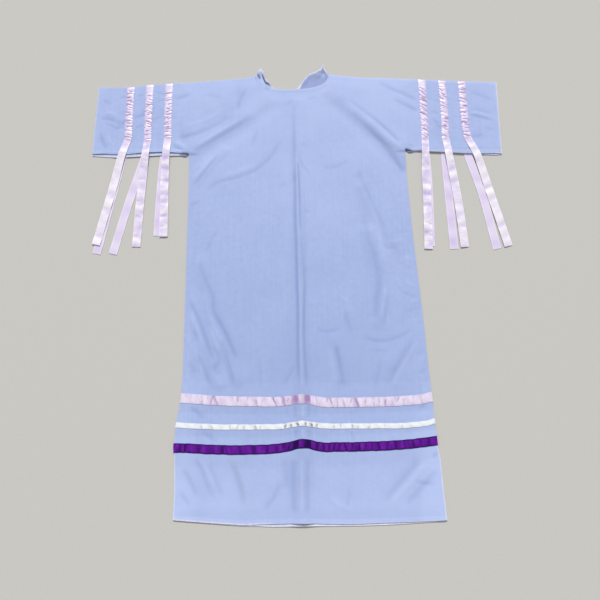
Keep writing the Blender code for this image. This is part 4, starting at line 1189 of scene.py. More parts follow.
@dataclass
class Shell:
    """A closed thin wall over a surface of four-sided faces, in millimetres.

    Its points are the wall's underside, its faces run anticlockwise as seen from above, and its
    marks are numbers that the materials read at each point. The underside may have fewer faces.
    """

    points: Array
    faces: Array
    thickness: Array
    marks: dict[str, Array] = field(default_factory=dict)
    chart: Array | None = None
    under_faces: Array | None = None
    under_points: Array | None = None

    def turned(self) -> Array:
        """A vector square to each face, upwards, of twice its area."""
        corners = self.points[self.faces]
        return np.cross(corners[:, 2] - corners[:, 0], corners[:, 3] - corners[:, 1])

    def normals(self) -> Array:
        """The upward direction at each point.

        Returns:
            Vectors of length 1.
        """
        turned, total = self.turned(), np.zeros_like(self.points)
        for corner in range(4):
            np.add.at(total, self.faces[:, corner], turned)
        return total / np.maximum(np.linalg.norm(total, axis=1, keepdims=True), 1e-9)

    @staticmethod
    def rim(faces: Array) -> Array:
        """Finds the edges of a surface that only one face uses.

        Args:
            faces: the faces' point numbers.

        Returns:
            Pairs of point numbers, in their face's direction.
        """
        ends = np.concatenate([faces[:, [k, (k + 1) % 4]] for k in range(4)])
        count = faces.max() + 1
        codes, back = ends[:, 0] * count + ends[:, 1], ends[:, 1] * count + ends[:, 0]
        return ends[~np.isin(codes, back)]

    @staticmethod
    def edge_walls(fine: Array, coarse: Array, low: Array) -> list[list[int]]:
        """The faces round the cut edge, one for each edge of the underside's rim.

        Args:
            fine: the upper face's rim, as pairs of point numbers.
            coarse: the underside's rim, whose points are some of the fine one's.
            low: the number of each point's fellow on the underside.

        Returns:
            The faces' point numbers.
        """
        following, faces = dict(fine.tolist()), []
        for start, end in coarse.tolist():
            chain = [start]
            while chain[-1] != end:
                chain.append(following[chain[-1]])
            faces.append(chain[::-1] + [int(low[start]), int(low[end])])
        return faces

    def build(self, name: str, material: Material) -> Object:
        """Makes the wall as one closed mesh object.

        Args:
            name: the object's name.
            material: what it is dressed in.

        Returns:
            The object, at the origin.
        """
        count = len(self.points)
        under_faces = self.faces if self.under_faces is None else self.under_faces
        under_points = self.points if self.under_points is None else self.under_points
        thickness = np.broadcast_to(np.asarray(self.thickness, float), (count,))
        top = self.points + self.normals() * thickness[:, None]
        used = np.unique(under_faces)
        low = np.zeros(count, np.int64)
        low[used] = np.arange(len(used)) + count
        rim, under_rim = self.rim(self.faces), self.rim(under_faces)
        faces = self.faces.tolist() + low[under_faces[:, ::-1]].tolist()
        faces += self.edge_walls(rim, under_rim, low)
        mesh = bpy.data.meshes.new(name)
        mesh.from_pydata((np.concatenate([top, under_points[used]]) * MM).tolist(), [], faces)
        mesh.update(calc_edges=True)
        mesh.shade_smooth()
        self.sharpen(mesh, np.concatenate([rim, low[under_rim]]))
        for mark, values in self.marks.items():
            layer = mesh.attributes.new(mark, "FLOAT", "POINT")
            layer.data.foreach_set("value", np.concatenate([values, values[used]]).astype(np.float32))
        if self.chart is not None:
            corners = np.empty(len(mesh.loops), np.int64)
            mesh.loops.foreach_get("vertex_index", corners)
            chart = np.concatenate([self.chart, self.chart[used]])[corners] * MM
            layer = mesh.uv_layers.new(name="ribbon_chart")
            layer.data.foreach_set("uv", chart.astype(np.float32).ravel())
        mesh.materials.append(material)
        return add_to_scene(name, mesh)

    @staticmethod
    def sharpen(mesh: bpy.types.Mesh, wanted: Array) -> None:
        """Keeps the wall's cut edges crisp, so that they don't shade its faces.

        Args:
            mesh: the wall's mesh.
            wanted: the edges, as pairs of point numbers.
        """
        ends = np.empty(len(mesh.edges) * 2, np.int64)
        mesh.edges.foreach_get("vertices", ends)
        ends, wanted = np.sort(ends.reshape(-1, 2), axis=1), np.sort(wanted, axis=1)
        total = len(mesh.vertices)
        sharp = np.isin(ends[:, 0] * total + ends[:, 1], wanted[:, 0] * total + wanted[:, 1])
        mesh.attributes.new("sharp_edge", "BOOLEAN", "EDGE").data.foreach_set("value", sharp)


def grid_faces(numbers: Array) -> Array:
    """The faces between the rows of a grid of point numbers.

    Args:
        numbers: point numbers, rows upwards and each row from left to right.

    Returns:
        One line of four numbers for each face, anticlockwise from above.
    """
    low, high = numbers[:-1], numbers[1:]
    return np.stack([low[:, :-1], low[:, 1:], high[:, 1:], high[:, :-1]], axis=-1).reshape(-1, 4)


def every_other(count: int, *kept: int) -> Array:
    """Every second number below a count, with the last one and any others that are to be kept."""
    return np.unique(np.append(np.arange(0, count, 2), (count - 1, *kept)))


def lowest_near(heights: Array) -> Array:
    """The lowest height among each point of a grid and its eight neighbours."""
    padded, (rows, columns) = np.pad(heights, 1, mode="edge"), heights.shape
    return np.minimum.reduce([padded[i:i + rows, j:j + columns] for i in range(3) for j in range(3)])


class Shader:
    """Lays out and joins the nodes of one material, whose colour is tinted step by step."""

    def __init__(self, name: str, colour: tuple) -> None:
        """Starts a material with a Principled shader.

        Args:
            name: the material's name.
            colour: what the tints start from.
        """
        self.material = bpy.data.materials.new(name)
        self.material.use_nodes = True
        self.tree = self.material.node_tree
        self.main = self.tree.nodes["Principled BSDF"]
        self.colour = colour + (1.0,)
        self.normal = None

    def feed(self, node: bpy.types.Node, inputs: dict) -> None:
        """Fills a node's inputs.

        Args:
            node: the node.
            inputs: a value, or the socket that gives one, by the input's name or number.
        """
        for name, value in inputs.items():
            if isinstance(value, Socket):
                self.tree.links.new(value, node.inputs[name])
            else:
                node.inputs[name].default_value = value

    def node(self, kind: str, inputs: dict, **settings: str) -> bpy.types.Node:
        """Makes a node.

        Args:
            kind: its type.
            inputs: what its inputs are filled with.
            settings: its own properties.

        Returns:
            The node.
        """
        made = self.tree.nodes.new(kind)
        for name, value in settings.items():
            setattr(made, name, value)
        self.feed(made, inputs)
        return made

    def mark(self, name: str) -> Socket:
        """The value of one of the mesh's marks."""
        return self.node("ShaderNodeAttribute", {}, attribute_name=name).outputs["Fac"]

    def places(self) -> Socket:
        """Object coordinates, in metres."""
        return self.node("ShaderNodeTexCoord", {}).outputs["Object"]

    def chart(self) -> Socket:
        """A ribbon's own coordinates: across it, then along it, in metres."""
        return self.node("ShaderNodeUVMap", {}, uv_map="ribbon_chart").outputs["UV"]

    def noise(self, source: Socket, scale: float | tuple, detail: float) -> Socket:
        """Makes soft noise.

        Args:
            source: the coordinates that it is read at.
            scale: how fine it is, as one number or one for each axis.
            detail: how many finer layers it has.

        Returns:
            The noise.
        """
        if isinstance(scale, tuple):
            source = self.node("ShaderNodeMapping", {"Vector": source, "Scale": scale}).outputs["Vector"]
            scale = 1.0
        inputs = {"Vector": source, "Scale": scale, "Detail": detail}
        return self.node("ShaderNodeTexNoise", inputs).outputs["Fac"]

    def waves(self, source: Socket, scale: float, axis: str) -> Socket:
        """Makes even bands, as of threads.

        Args:
            source: the coordinates that they are read at.
            scale: how fine they are.
            axis: the axis along which they follow each other.

        Returns:
            The bands.
        """
        inputs = {"Vector": source, "Scale": scale, "Distortion": 0.6}
        wave = self.node("ShaderNodeTexWave", inputs, wave_type="BANDS", bands_direction=axis)
        return wave.outputs["Fac"]

    def ranged(self, source: Socket, low: float, high: float, start: float, end: float) -> Socket:
        """Moves a value from one range to another and keeps it inside that.

        Args:
            source: the value.
            low: the value that becomes start.
            high: the value that becomes end.
            start: one end of the new range.
            end: its other end.

        Returns:
            The moved value.
        """
        inputs = {"Value": source, "From Min": low, "From Max": high, "To Min": start, "To Max": end}
        return self.node("ShaderNodeMapRange", inputs).outputs["Result"]

    def added(self, first: Socket, second: Socket) -> Socket:
        """The sum of two values."""
        return self.node("ShaderNodeMath", {0: first, 1: second}, operation="ADD").outputs["Value"]

    def times(self, first: Socket, second: Socket) -> Socket:
        """The product of two values."""
        return self.node("ShaderNodeMath", {0: first, 1: second}, operation="MULTIPLY").outputs["Value"]

    def tint(self, share: Socket, tint: tuple, *span: float) -> None:
        """Moves the colour towards a tint.

        Args:
            share: how far it is moved at each point, 0 to 1.
            tint: the colour at a share of 1.
            span: for a share that has to be ranged first, what it is ranged from and to.
        """
        share = self.ranged(share, *span) if span else share
        blend = self.node("ShaderNodeMix", {}, data_type="RGBA")
        base, goal = (number for number, socket in enumerate(blend.inputs) if socket.type == "RGBA")
        self.feed(blend, {"Factor": share, base: self.colour, goal: tint + (1.0,)})
        self.colour = next(socket for socket in blend.outputs if socket.type == "RGBA")

    def relief(self, height: Socket, strength: float, distance: float) -> None:
        """Gives the surface a fine relief, over the coarser one that it has already, if any.

        Args:
            height: how high it stands.
            strength: how much of it shows.
            distance: how deep it is, in metres.
        """
        inputs = {"Height": height, "Strength": strength, "Distance": distance}
        under = {} if self.normal is None else {"Normal": self.normal}
        self.normal = self.node("ShaderNodeBump", inputs | under).outputs["Normal"]
        self.feed(self.main, {"Normal": self.normal})

    def surface(self, roughness: float, sheen: float, sheen_roughness: float,
                gloss: float = 0.5) -> Material:
        """Finishes the material.

        Args:
            roughness: how matt it is.
            sheen: how much light its fibres catch at a slant.
            sheen_roughness: how widely they spread it.
            gloss: how much light its face throws back.

        Returns:
            The material.
        """
        self.feed(self.main, {
            "Base Color": self.colour, "Roughness": roughness, "Sheen Weight": sheen,
            "Sheen Roughness": sheen_roughness, "Specular IOR Level": gloss,
        })
        return self.material


@dataclass(frozen=True)
class ClothFinish:
    """Plain-weave cotton: faint warp streaks, painted shade in the troughs and gaps, painted highlight on
    the ridges and hem edges, and broad painted light and shade.
    """

    name: str = "blue_broadcloth"
    colour: tuple = (0.394, 0.492, 0.806)
    streak_dark: tuple = (0.368, 0.464, 0.776)
    streak_light: tuple = (0.420, 0.520, 0.834)
    # Broad painted light and painted shade, for the wash mark:
    painted_light: tuple = (0.492, 0.590, 0.920)
    painted_shade: tuple = (0.346, 0.438, 0.738)
    # Painted shade in crease troughs and painted highlight on crease ridges:
    trough: tuple = (0.235, 0.315, 0.600)
    ridge: tuple = (0.560, 0.660, 0.950)
    # Painted highlight on the turned edges:
    hem: tuple = (0.830, 0.815, 0.940)
    # Painted shade inside the neck:
    inner: tuple = (0.320, 0.385, 0.700)
    soil: tuple = (0.330, 0.400, 0.520)
    # Painted shade in gaps and pleats:
    gap: tuple = (0.050, 0.080, 0.200)
    thread_scale: float = 640.0
    roughness: float = 0.82
    sheen: float = 0.14
    sheen_roughness: float = 0.55

    def material(self) -> Material:
        """Builds the cloth's material.

        Returns:
            The material, which reads the marks of a panel.
        """
        shader = Shader(self.name, self.colour)
        places, tone = shader.places(), shader.mark("tone")
        streaks = shader.noise(places, (170.0, 6.0, 1.0), 4.0)
        shader.tint(streaks, self.streak_dark, 0.30, 0.50, 0.6, 0.0)
        shader.tint(streaks, self.streak_light, 0.50, 0.70, 0.0, 0.6)
        mottle = shader.noise(places, 90.0, 3.0)
        shader.tint(mottle, self.streak_dark, 0.34, 0.50, 0.45, 0.0)
        shader.tint(mottle, self.streak_light, 0.50, 0.66, 0.0, 0.45)
        # Broad painted light and shade: the wash mark, loosened by noise.
        drift = shader.ranged(shader.noise(places, 6.0, 2.0), 0.30, 0.70, -0.22, 0.22)
        wash = shader.added(shader.mark("wash"), drift)
        shader.tint(wash, self.painted_light, 0.0, 1.0, 0.0, 1.0)
        shader.tint(wash, self.painted_shade, -1.0, 0.0, 1.0, 0.0)
        # Painted shade on the back's cloth inside the neck.
        shader.tint(shader.mark("inner"), self.inner)
        # The tone mark: painted shade in crease troughs, painted highlight on their ridges.
        shader.tint(tone, self.trough, -1.0, 0.0, 0.62, 0.0)
        shader.tint(tone, self.ridge, 0.0, 1.0, 0.0, 0.62)
        blotch = shader.ranged(shader.noise(places, 60.0, 3.0), 0.3, 0.7, 0.35, 1.0)
        shader.tint(shader.times(shader.mark("soil"), blotch), self.soil)
        # Painted highlight along the turned edges, in patches.
        patchy = shader.ranged(shader.noise(places, 130.0, 2.0), 0.3, 0.7, 0.55, 1.2)
        shader.tint(shader.times(shader.mark("hem"), patchy), self.hem)
        # Painted shade in gaps and pleats.
        shader.tint(shader.mark("gap"), self.gap)
        threads = (shader.waves(places, self.thread_scale, axis) for axis in "XY")
        slubs = shader.noise(places, (900.0, 60.0, 1.0), 2.0)
        shader.relief(shader.noise(places, 34.0, 2.0), 0.5, 0.0011)
        shader.relief(shader.added(shader.added(*threads), slubs), 0.22, 0.00012)
        return shader.surface(self.roughness, self.sheen, self.sheen_roughness)


@dataclass(frozen=True)
class SatinFinish:
    """Satin ribbon: a smooth face with a soft gloss, mottled along its length with painted reflection
    patches, with painted shade in its pinches and painted highlight.
    """

    name: str
    slot: Satin
    colour: tuple
    # Painted highlight, and the lighter reflection patches:
    light: tuple
    # The duller painted reflection patches, and fine streaks:
    dim: tuple
    # Painted shade in the pinches:
    pinch: tuple
    roughness: float = 0.36
    sheen: float = 0.20
    sheen_roughness: float = 0.35
    gloss: float = 0.6

    def material(self) -> Material:
        """Builds the ribbon's material.

        Returns:
            The material, which reads the marks and the chart of a strip.
        """
        shader = Shader(self.name, self.colour)
        chart, share, tone = shader.chart(), shader.mark("mottle"), shader.mark("tone")
        # Painted reflection patches, lighter and duller, as far as the mottle mark lets them show.
        mottle = shader.noise(chart, (36.0, 64.0, 1.0), 2.0)
        shader.tint(shader.times(shader.ranged(mottle, 0.50, 0.66, 0.0, 1.0), share), self.light)
        shader.tint(shader.times(shader.ranged(mottle, 0.50, 0.36, 0.0, 1.0), share), self.dim)
        shader.tint(shader.noise(chart, (260.0, 900.0, 1.0), 2.0), self.dim, 0.45, 0.25, 0.0, 0.35)
        # The tone mark: painted shade in the pinches, painted highlight.
        shader.tint(tone, self.pinch, -1.0, 0.0, 1.0, 0.0)
        shader.tint(tone, self.light, 0.0, 1.0, 0.0, 1.0)
        grain = shader.noise(chart, (2600.0, 120.0, 1.0), 2.0)
        shader.relief(shader.added(shader.waves(chart, 520.0, "Y"), grain), 0.12, 0.00008)
        return shader.surface(self.roughness, self.sheen, self.sheen_roughness, self.gloss)


@dataclass(frozen=True)
class ThreadFinish:
    """Spun sewing thread, with the twist of its plies."""

    name: str
    colour: tuple
    shade: tuple

    def material(self) -> Material:
        """Builds the thread's material.

        Returns:
            The material.
        """
        shader = Shader(self.name, self.colour)
        twist = shader.noise(shader.places(), 2600.0, 1.0)
        shader.tint(twist, self.shade, 0.35, 0.65, 0.0, 1.0)
        shader.relief(twist, 0.3, 0.00006)
        return shader.surface(0.62, 0.2, 0.4)


@dataclass(frozen=True)
class FloorFinish:
    """A plain pale floor with a barely seen grain."""

    name: str = "pale_floor"
    colour: tuple = (0.600, 0.590, 0.560)
    grain: tuple = (0.582, 0.572, 0.544)

    def material(self) -> Material:
        """Builds the floor's material.

        Returns:
            The material.
        """
        shader = Shader(self.name, self.colour)
        shader.tint(shader.noise(shader.places(), 240.0, 3.0), self.grain, 0.35, 0.65, 0.0, 1.0)
        return shader.surface(0.9, 0.0, 0.5)


# Each satin: its colour, its painted highlight, its duller reflection patches and its painted shade in
# pinches.
SATINS = (
    SatinFinish("lilac_ribbon_satin", Satin.LILAC, (0.750, 0.646, 0.910), (0.965, 0.918, 0.985),
                (0.620, 0.540, 0.820), (0.320, 0.180, 0.400)),
    SatinFinish("pink_ribbon_satin", Satin.PINK, (0.815, 0.728, 0.912), (0.925, 0.862, 0.975),
                (0.740, 0.640, 0.860), (0.390, 0.255, 0.500)),
    SatinFinish("white_ribbon_satin", Satin.WHITE, (0.930, 0.958, 0.990), (0.965, 0.975, 0.992),
                (0.830, 0.875, 0.935), (0.230, 0.245, 0.265)),
    SatinFinish("purple_ribbon_satin", Satin.PURPLE, (0.133, 0.007, 0.320), (0.220, 0.020, 0.480),
                (0.072, 0.003, 0.185), (0.022, 0.001, 0.075), roughness=0.50, sheen=0.0, gloss=0.12),
)
THREADS = {
    Satin.PINK: ThreadFinish("pink_thread", (0.70, 0.52, 0.74), (0.52, 0.36, 0.58)),
    Satin.WHITE: ThreadFinish("white_thread", (0.86, 0.88, 0.92), (0.66, 0.70, 0.78)),
    Satin.PURPLE: ThreadFinish("purple_thread", (0.11, 0.012, 0.25), (0.05, 0.006, 0.13)),
    Satin.LILAC: ThreadFinish("mauve_thread", (0.56, 0.38, 0.62), (0.36, 0.22, 0.42)),
}
HEM_THREAD = ThreadFinish("pale_blue_thread", (0.52, 0.62, 0.86), (0.34, 0.44, 0.70))


@dataclass(frozen=True)
class Panel:
    """A layer of the dress, cut in one with its sleeves: a wall through rows and columns."""

    form: DressForm
    layer: Layer
    pitch: float
    close_pitch: float
    close_reach: float
    neck_rows: float = 0.0
    upper_length: float = 220.0
    neck_start: float = 0.66
    neck_length: float = 75.0
    hem_width: float = 9.0
    hem_pitch: float = 2.4
    hem_follow: float = -470.0
    hem_follow_run: float = 120.0
    cut_width: float = 1.16
    cut_length: float = 1.27
    hem_low: float = -500.0
    edge_run: float = 3.6
    turning: float = 0.022
    turned_edges: tuple = (0.65, 0.21, 0.21, 0.26, 0.26)

    def columns(self) -> tuple[Array, slice]:
        """Places the columns.

        Returns:
            Where each crosses the armpit line and the top edge, and which of them are the body's.
        """
        low, high, reach = COLUMN_FAN[0].armpit_x, COLUMN_FAN[-1].armpit_x, self.close_reach
        body = np.unique(np.concatenate([
            spread(low, -reach, self.pitch), spread(-reach, reach, self.close_pitch),
            spread(reach, high, self.pitch),
        ]))
        left = spread(LEFT_CUFF.armpit_x, low, self.pitch)[:-1]
        armpit = np.concatenate([left, body, spread(high, RIGHT_CUFF.armpit_x, self.pitch)[1:]])
        top = read((LEFT_CUFF,) + COLUMN_FAN + (RIGHT_CUFF,), armpit, "armpit_x", "top_x")
        if self.layer is Layer.BACK:
            for point in BACK_NECK:
                top[np.argmin(np.abs(top - point.x))] = point.x
        return np.stack([armpit, top], axis=1), slice(len(left), len(left) + len(body))

    def upper_plan(self, columns: Array) -> Array:
        """Lays out the points from the underarm line up to the top edge.

        Args:
            columns: where each column crosses the armpit line and the top edge.

        Returns:
            Plan points as rows by columns by two.
        """
        plan, (armpit, top) = self.form.plan, columns.T
        high = plan.front_top(top) if self.layer is Layer.FRONT else plan.back_top(top)
        shares = np.linspace(0.0, 1.0, round(self.upper_length / self.pitch) + 1)
        if self.neck_rows:
            close = np.linspace(self.neck_start, 1.0, round(self.neck_length / self.neck_rows) + 1)
            shares = np.concatenate([shares[shares < self.neck_start - 0.01], close])
        shares = shares[:, None]
        x = mix(armpit, top, soft_step(shares))
        return stacked(x, mix(plan.underarm(self.layer, armpit), high, shares))

    def skirt_plan(self, armpit: Array) -> Array:
        """Lays out the points from just under the armpit line down to the hem.

        Args:
            armpit: where the body's columns cross the armpit line.

        Returns:
            Plan points as rows by columns by two.
        """
        shares = np.where(armpit < 0, -armpit / armpit[0], armpit / armpit[-1])
        stops = [ARMPIT, CHEST]
        for band in self.form.bands:
            flat = band.width / 2 + self.form.ramp_clearance
            stops += [band.row.moved(flat), band.row.moved(-flat)]
        stops += [HEM.moved(self.hem_width + 3.0), HEM]
        rows = []
        for start, end in zip(stops, stops[1:]):
            pitch = self.hem_pitch if end is HEM else self.pitch
            count = max(1, round(abs(start.left_y - end.left_y) / pitch))
            steps = np.linspace(0.0, 1.0, count + 1)[1:, None]
            rows.append(mix(np.array(start), np.array(end), steps))
        outlines = self.form.plan
        plan = outlines.rows_plan(np.concatenate(rows), shares)
        x, y = np.moveaxis(plan, -1, 0)
        near_hem = soft_step((self.hem_follow - y) / self.hem_follow_run)
        return stacked(x, y + near_hem * (outlines.hem_y(self.layer, x) - outlines.row_y(HEM, x)))

    def make_shell(self) -> Shell:
        """Lays the plan's points at their heights and marks the painted light and shade of hems, creases,
        gaps, the neck and the broad wash, and soil.

        Returns:
            The panel's wall; the front's underside has half as many rows and columns.
        """
        form, (columns, body) = self.form, self.columns()
        upper, skirt = self.upper_plan(columns), self.skirt_plan(columns[body, 0])
        plan = np.concatenate([upper.reshape(-1, 2), skirt.reshape(-1, 2)])
        numbers = np.arange(upper.size // 2).reshape(upper.shape[:2])
        below = np.arange(skirt.size // 2).reshape(skirt.shape[:2]) + numbers.size
        downwards = np.concatenate([numbers[:1, body], below])[::-1]
        x, y = plan.T
        surface = form.front(x, y) if self.layer is Layer.FRONT else form.back(x, y)
        edge = form.plan.open_edge_distance(self.layer, x, y)
        # Painted shade and highlight of the creases (tone), painted highlight of the turned edges (hem),
        # painted shade in the neck (inner) and in gaps (gap), stains (soil), and broad painted light and
        # shade (wash).
        marks = {
            "tone": np.clip(surface.tone, -1.0, 1.0),
            "hem": self.hem_mark(x, y, edge),
            "inner": self.inner_mark(x, y),
            "soil": self.soil_mark(x, y),
            "gap": self.gap_mark(x, y),
            "wash": read(WASH, y, "y", "shade") + self.edge_wash(x, y),
        }
        thickness = form.walls.cloth + form.walls.hem * soft_step((self.hem_width - edge) / 2.0)
        faces = np.concatenate([grid_faces(numbers), grid_faces(downwards)])
        shell = Shell(stacked(x, y, surface.height), faces, thickness, marks)
        if self.layer is Layer.FRONT:
            kept = every_other(numbers.shape[1], body.start, body.stop - 1)
            inner = kept[(kept >= body.start) & (kept < body.stop)] - body.start
            self.thin_out(shell, ((numbers, kept), (downwards, inner)))
        return shell

    @staticmethod
    def thin_out(shell: Shell, grids: Sequence[tuple[Array, Array]]) -> None:
        """Gives a wall an underside of fewer faces, which lies under every point of the upper face.

        Args:
            shell: the wall.
            grids: its grids of point numbers, each with the columns that are kept.
        """
        shell.under_points = shell.points.copy()
        low = shell.under_points[:, 2]
        for numbers, _ in grids:
            low[numbers] = np.minimum(low[numbers], lowest_near(shell.points[numbers, 2]))
        kept = [numbers[np.ix_(every_other(len(numbers)), columns)] for numbers, columns in grids]
        shell.under_faces = np.concatenate([grid_faces(numbers) for numbers in kept])

    def hem_mark(self, x: Array, y: Array, edge: Array) -> Array:
        """Marks the painted highlight on the turned edges and, faintly, on the ridges along the seams.

        Args:
            x, y: the points.
            edge: how far each is from the nearest hemmed edge.

        Returns:
            The mark, 0 to 1.
        """
        if self.layer is Layer.FRONT:
            boxes, hem_run, skirt = FRONT_EDGES, 5.0, mix(0.85, 0.12, soft_step((x + 110.0) / 60.0))
        else:
            boxes, hem_run, skirt = BACK_EDGES, 11.0, 0.95
        inside = [(x > box.left) & (x < box.right) & (y > box.low) & (y < box.high) for box in boxes]
        painted_light = np.select(inside, [box.pale for box in boxes], skirt)
        runs = [box.run for box in boxes] + [hem_run]
        run = np.select(inside + [y < self.hem_low], runs, self.edge_run)
        seam = self.form.plan.closed_seam_distance(x, y)
        side = 0.80 * soft_step(1.0 - seam / 3.5) * soft_step((-400.0 - y) / 60.0)
        ridge = np.where(y > ARMPIT.left_y, 0.22 * soft_step(1.0 - seam / 2.6), side)
        turned = painted_light * soft_step(1.0 - edge / run) + 0.08 * soft_step(1.0 - (edge - 4.5) / 4.0)
        return np.maximum(turned, ridge)

    def edge_wash(self, x: Array, y: Array) -> Array:
        """Works out the broad painted light and shade added near the side seams and shoulders, and in
        patches.

        Args:
            x, y: the points.

        Returns:
            The shade that is added.
        """
        plan = self.form.plan
        side = read(LEFT_SIDE_WASH, y, "y", "shade"), read(RIGHT_SIDE_WASH, y, "y", "shade")
        along_sides = np.where(x < 0.0, *side) * soft_step(1.3 - plan.side_distance(x, y) / 55.0)
        near_seam = soft_step(1.0 - plan.closed_seam_distance(x, y) / 14.0)
        shoulder = np.where(x < 0.0, -0.40, 0.05) * near_seam
        sleeve = -0.20 * soft_step((np.abs(x) - plan.sleeve_start) / 60.0)
        patches = sum(patch.at(x, y) for patch in WASH_PATCHES)
        return patches + np.where(y > plan.shoulder_low, shoulder + sleeve, along_sides)

    def inner_mark(self, x: Array, y: Array) -> Array:
        """Marks how much of the cloth's shaded inner side shows: the back's, inside the neck.

        Args:
            x, y: the points.

        Returns:
            The mark, 0 to 1.
        """
        if self.layer is Layer.FRONT:
            return np.zeros_like(x)
        inside = (x > -70.0) & (x < BACK_NECK[-1].x) & (y > 500.0)
        away = self.form.plan.back_top(x) - y
        # Painted shade on the back's cloth inside the neck, lifted by the painted highlight on the flap.
        shaded = 0.9 * soft_step(away / 7.0) * soft_step((610.0 - y) / 14.0)
        return np.where(inside, np.maximum(shaded - FLAP_HIGHLIGHT.at(x, y), 0.0), 0.0)

    def gap_mark(self, x: Array, y: Array) -> Array:
        """Marks the shade of narrow gaps and shut pleats, and on the back that of the front's hem.

        Args:
            x, y: the points.

        Returns:
            The mark, 0 to 1.
        """
        gaps = FRONT_GAPS if self.layer is Layer.FRONT else BACK_GAPS
        shade = np.clip(sum(self.form.wrinkle(gap, x, y) for gap in gaps), 0.0, 1.0)
        if self.layer is Layer.FRONT:
            return shade
        away = np.abs(y - self.form.plan.hem_y(Layer.FRONT, x) + 0.8)
        return np.maximum(shade, np.where(y < self.hem_low, 0.18 * soft_step(1.0 - away / 2.2), 0.0))

    def soil_mark(self, x: Array, y: Array) -> Array:
        """How dark the old stains are at each point."""
        stains = FRONT_STAINS if self.layer is Layer.FRONT else BACK_STAINS
        return sum(self.form.fold(stain, x, y) for stain in stains)

    def build(self, cloth: Material) -> None:
        """Makes the panel in place of its solid, and logs its faces and how it was cut.

        Args:
            cloth: what it is dressed in.
        """
        shell = self.make_shell()
        piece = shell.build(f"{self.layer.value}_cloth", cloth)
        seen = 0.5 * np.linalg.norm(shell.turned(), axis=1).sum() * MM * MM
        area = seen + self.turning * sum(self.turned_edges)
        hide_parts(f"{self.layer.value}_panel")
        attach(piece, "root")
        LOG.info("%s: %d faces, cut %.3f m2", piece.name, len(piece.data.polygons), area)


@dataclass
class Strip:
    """A length of ribbon: stations along it, each with points across it."""

    points: Array
    tone: Array
    mottle: Array
    chart: Array
    thickness: float

    def build(self, name: str, material: Material) -> Object:
        """Makes the ribbon's wall, whichever way its stations run.

        Args:
            name: the piece's name.
            material: what it is dressed in.

        Returns:
            The piece, at the origin.
        """
        marks = {"tone": np.clip(self.tone.reshape(-1), -1.0, 1.0), "mottle": self.mottle.reshape(-1)}
        faces = grid_faces(np.arange(self.tone.size).reshape(self.tone.shape))
        shell = Shell(self.points.reshape(-1, 3), faces, self.thickness, marks, self.chart.reshape(-1, 2))
        if shell.normals()[len(shell.points) // 2, 2] < 0:
            shell.faces = shell.faces[:, ::-1]
        return shell.build(name, material)

    def top_line(self, share: float, lift: float) -> Array:
        """Finds a line along the ribbon's upper face.

        Args:
            share: how far across it lies, 0 to 1.
            lift: how high it floats.

        Returns:
            The line's points.
        """
        place = share * (self.points.shape[1] - 1)
        low = int(place)
        line = mix(self.points[:, low], self.points[:, low + 1], place - low)
        return line + (0.0, 0.0, self.thickness + lift)


@dataclass(frozen=True)
class RibbonSize:
    """A ribbon gathered over a sleeve, tacked down, with a loose tail in front and behind."""

    name: str
    x: float
    tack_x: float
    tack_y: float
    seed: int
    gathers: int
    lean: float
    flat_share: float
    front_tail: Sequence[Point]
    back_tail: Sequence[Point]
    front_shade: float
    back_shade: float
    width: float = 22.0
    satin: Satin = Satin.LILAC
    held: str = "gathered"


SLEEVE_RIBBONS = (
    RibbonSize("left_outer_ribbon", -467.5, -466.5, 396.5, 3, 17, 0.3, 0.06,
               table(Point, (-482.5, 344), (-496, 277), (-514.5, 190), (-536.5, 92)),
               table(Point, (-480, 344), (-492.5, 277), (-509.5, 190), (-533.5, 67)), 0.55, 0.20),
    RibbonSize("left_middle_ribbon", -414.3, -413.0, 390.5, 5, 16, 0.2, 0.14,
               table(Point, (-417.5, 344), (-421, 290), (-425.5, 210), (-430, 85)),
               table(Point, (-419.5, 344), (-434.5, 288), (-457, 207), (-491, 66)), 0.20, 0.20),
    RibbonSize("left_inner_ribbon", -360.0, -357.5, 399.5, 8, 15, -0.1, 0.14,
               table(Point, (-361, 344), (-362, 300), (-361, 210), (-359, 112)),
               table(Point, (-366, 344), (-370, 290), (-373, 210), (-375, 115)), 0.10, 0.05),
    RibbonSize("right_inner_ribbon", 351.6, 350.0, 387.0, 13, 16, 0.9, 0.10,
               table(Point, (348, 335), (346.5, 290), (344.5, 192), (340, 68)),
               table(Point, (350, 335), (351, 290), (350, 192), (346, 76)), 0.12, 0.05),
    RibbonSize("right_middle_ribbon", 408.4, 406.0, 386.0, 21, 16, 0.8, 0.06,
               table(Point, (412.5, 335), (418, 290), (427, 210), (436, 72)),
               table(Point, (403, 335), (403, 290), (404.5, 205), (408, 67)), 0.35, 0.05),
    RibbonSize("right_outer_ribbon", 463.0, 466.5, 387.5, 34, 17, 0.3, 0.04,
               table(Point, (489, 335), (500.5, 290), (519, 210), (551, 73)),
               table(Point, (466, 335), (477.5, 290), (496, 213), (520.5, 65.5)), 0.60, 0.20),
)


@dataclass(frozen=True)
class Path:
    """A smooth line down the plan through a few points, read by its y."""

    points: Sequence[Point]

    def x(self, y: Array) -> Array:
        """Reads the line by cubic pieces; past its ends the last piece runs on.

        Args:
            y: how far along the dress.

        Returns:
            The line's x there.
        """
        xs, ys = np.array(self.points, float).T
        piece = np.clip(np.searchsorted(-ys, -np.asarray(y, float), side="left") - 1, 0, len(xs) - 2)
        before, after = np.maximum(piece - 1, 0), np.minimum(piece + 2, len(xs) - 1)
        run = ys[piece + 1] - ys[piece]
        slope_in = (xs[piece + 1] - xs[before]) / (ys[piece + 1] - ys[before])
        slope_out = (xs[after] - xs[piece]) / (ys[after] - ys[piece])
        return curved((y - ys[piece]) / run, run, xs[piece], xs[piece + 1], slope_in, slope_out)

    def across(self, y: Array) -> tuple[Array, Array]:
        """The unit direction across the line at y, towards +X."""
        slope = (self.x(y - 1.0) - self.x(y + 1.0)) / 2.0
        return 1.0 / np.hypot(1.0, slope), slope / np.hypot(1.0, slope)


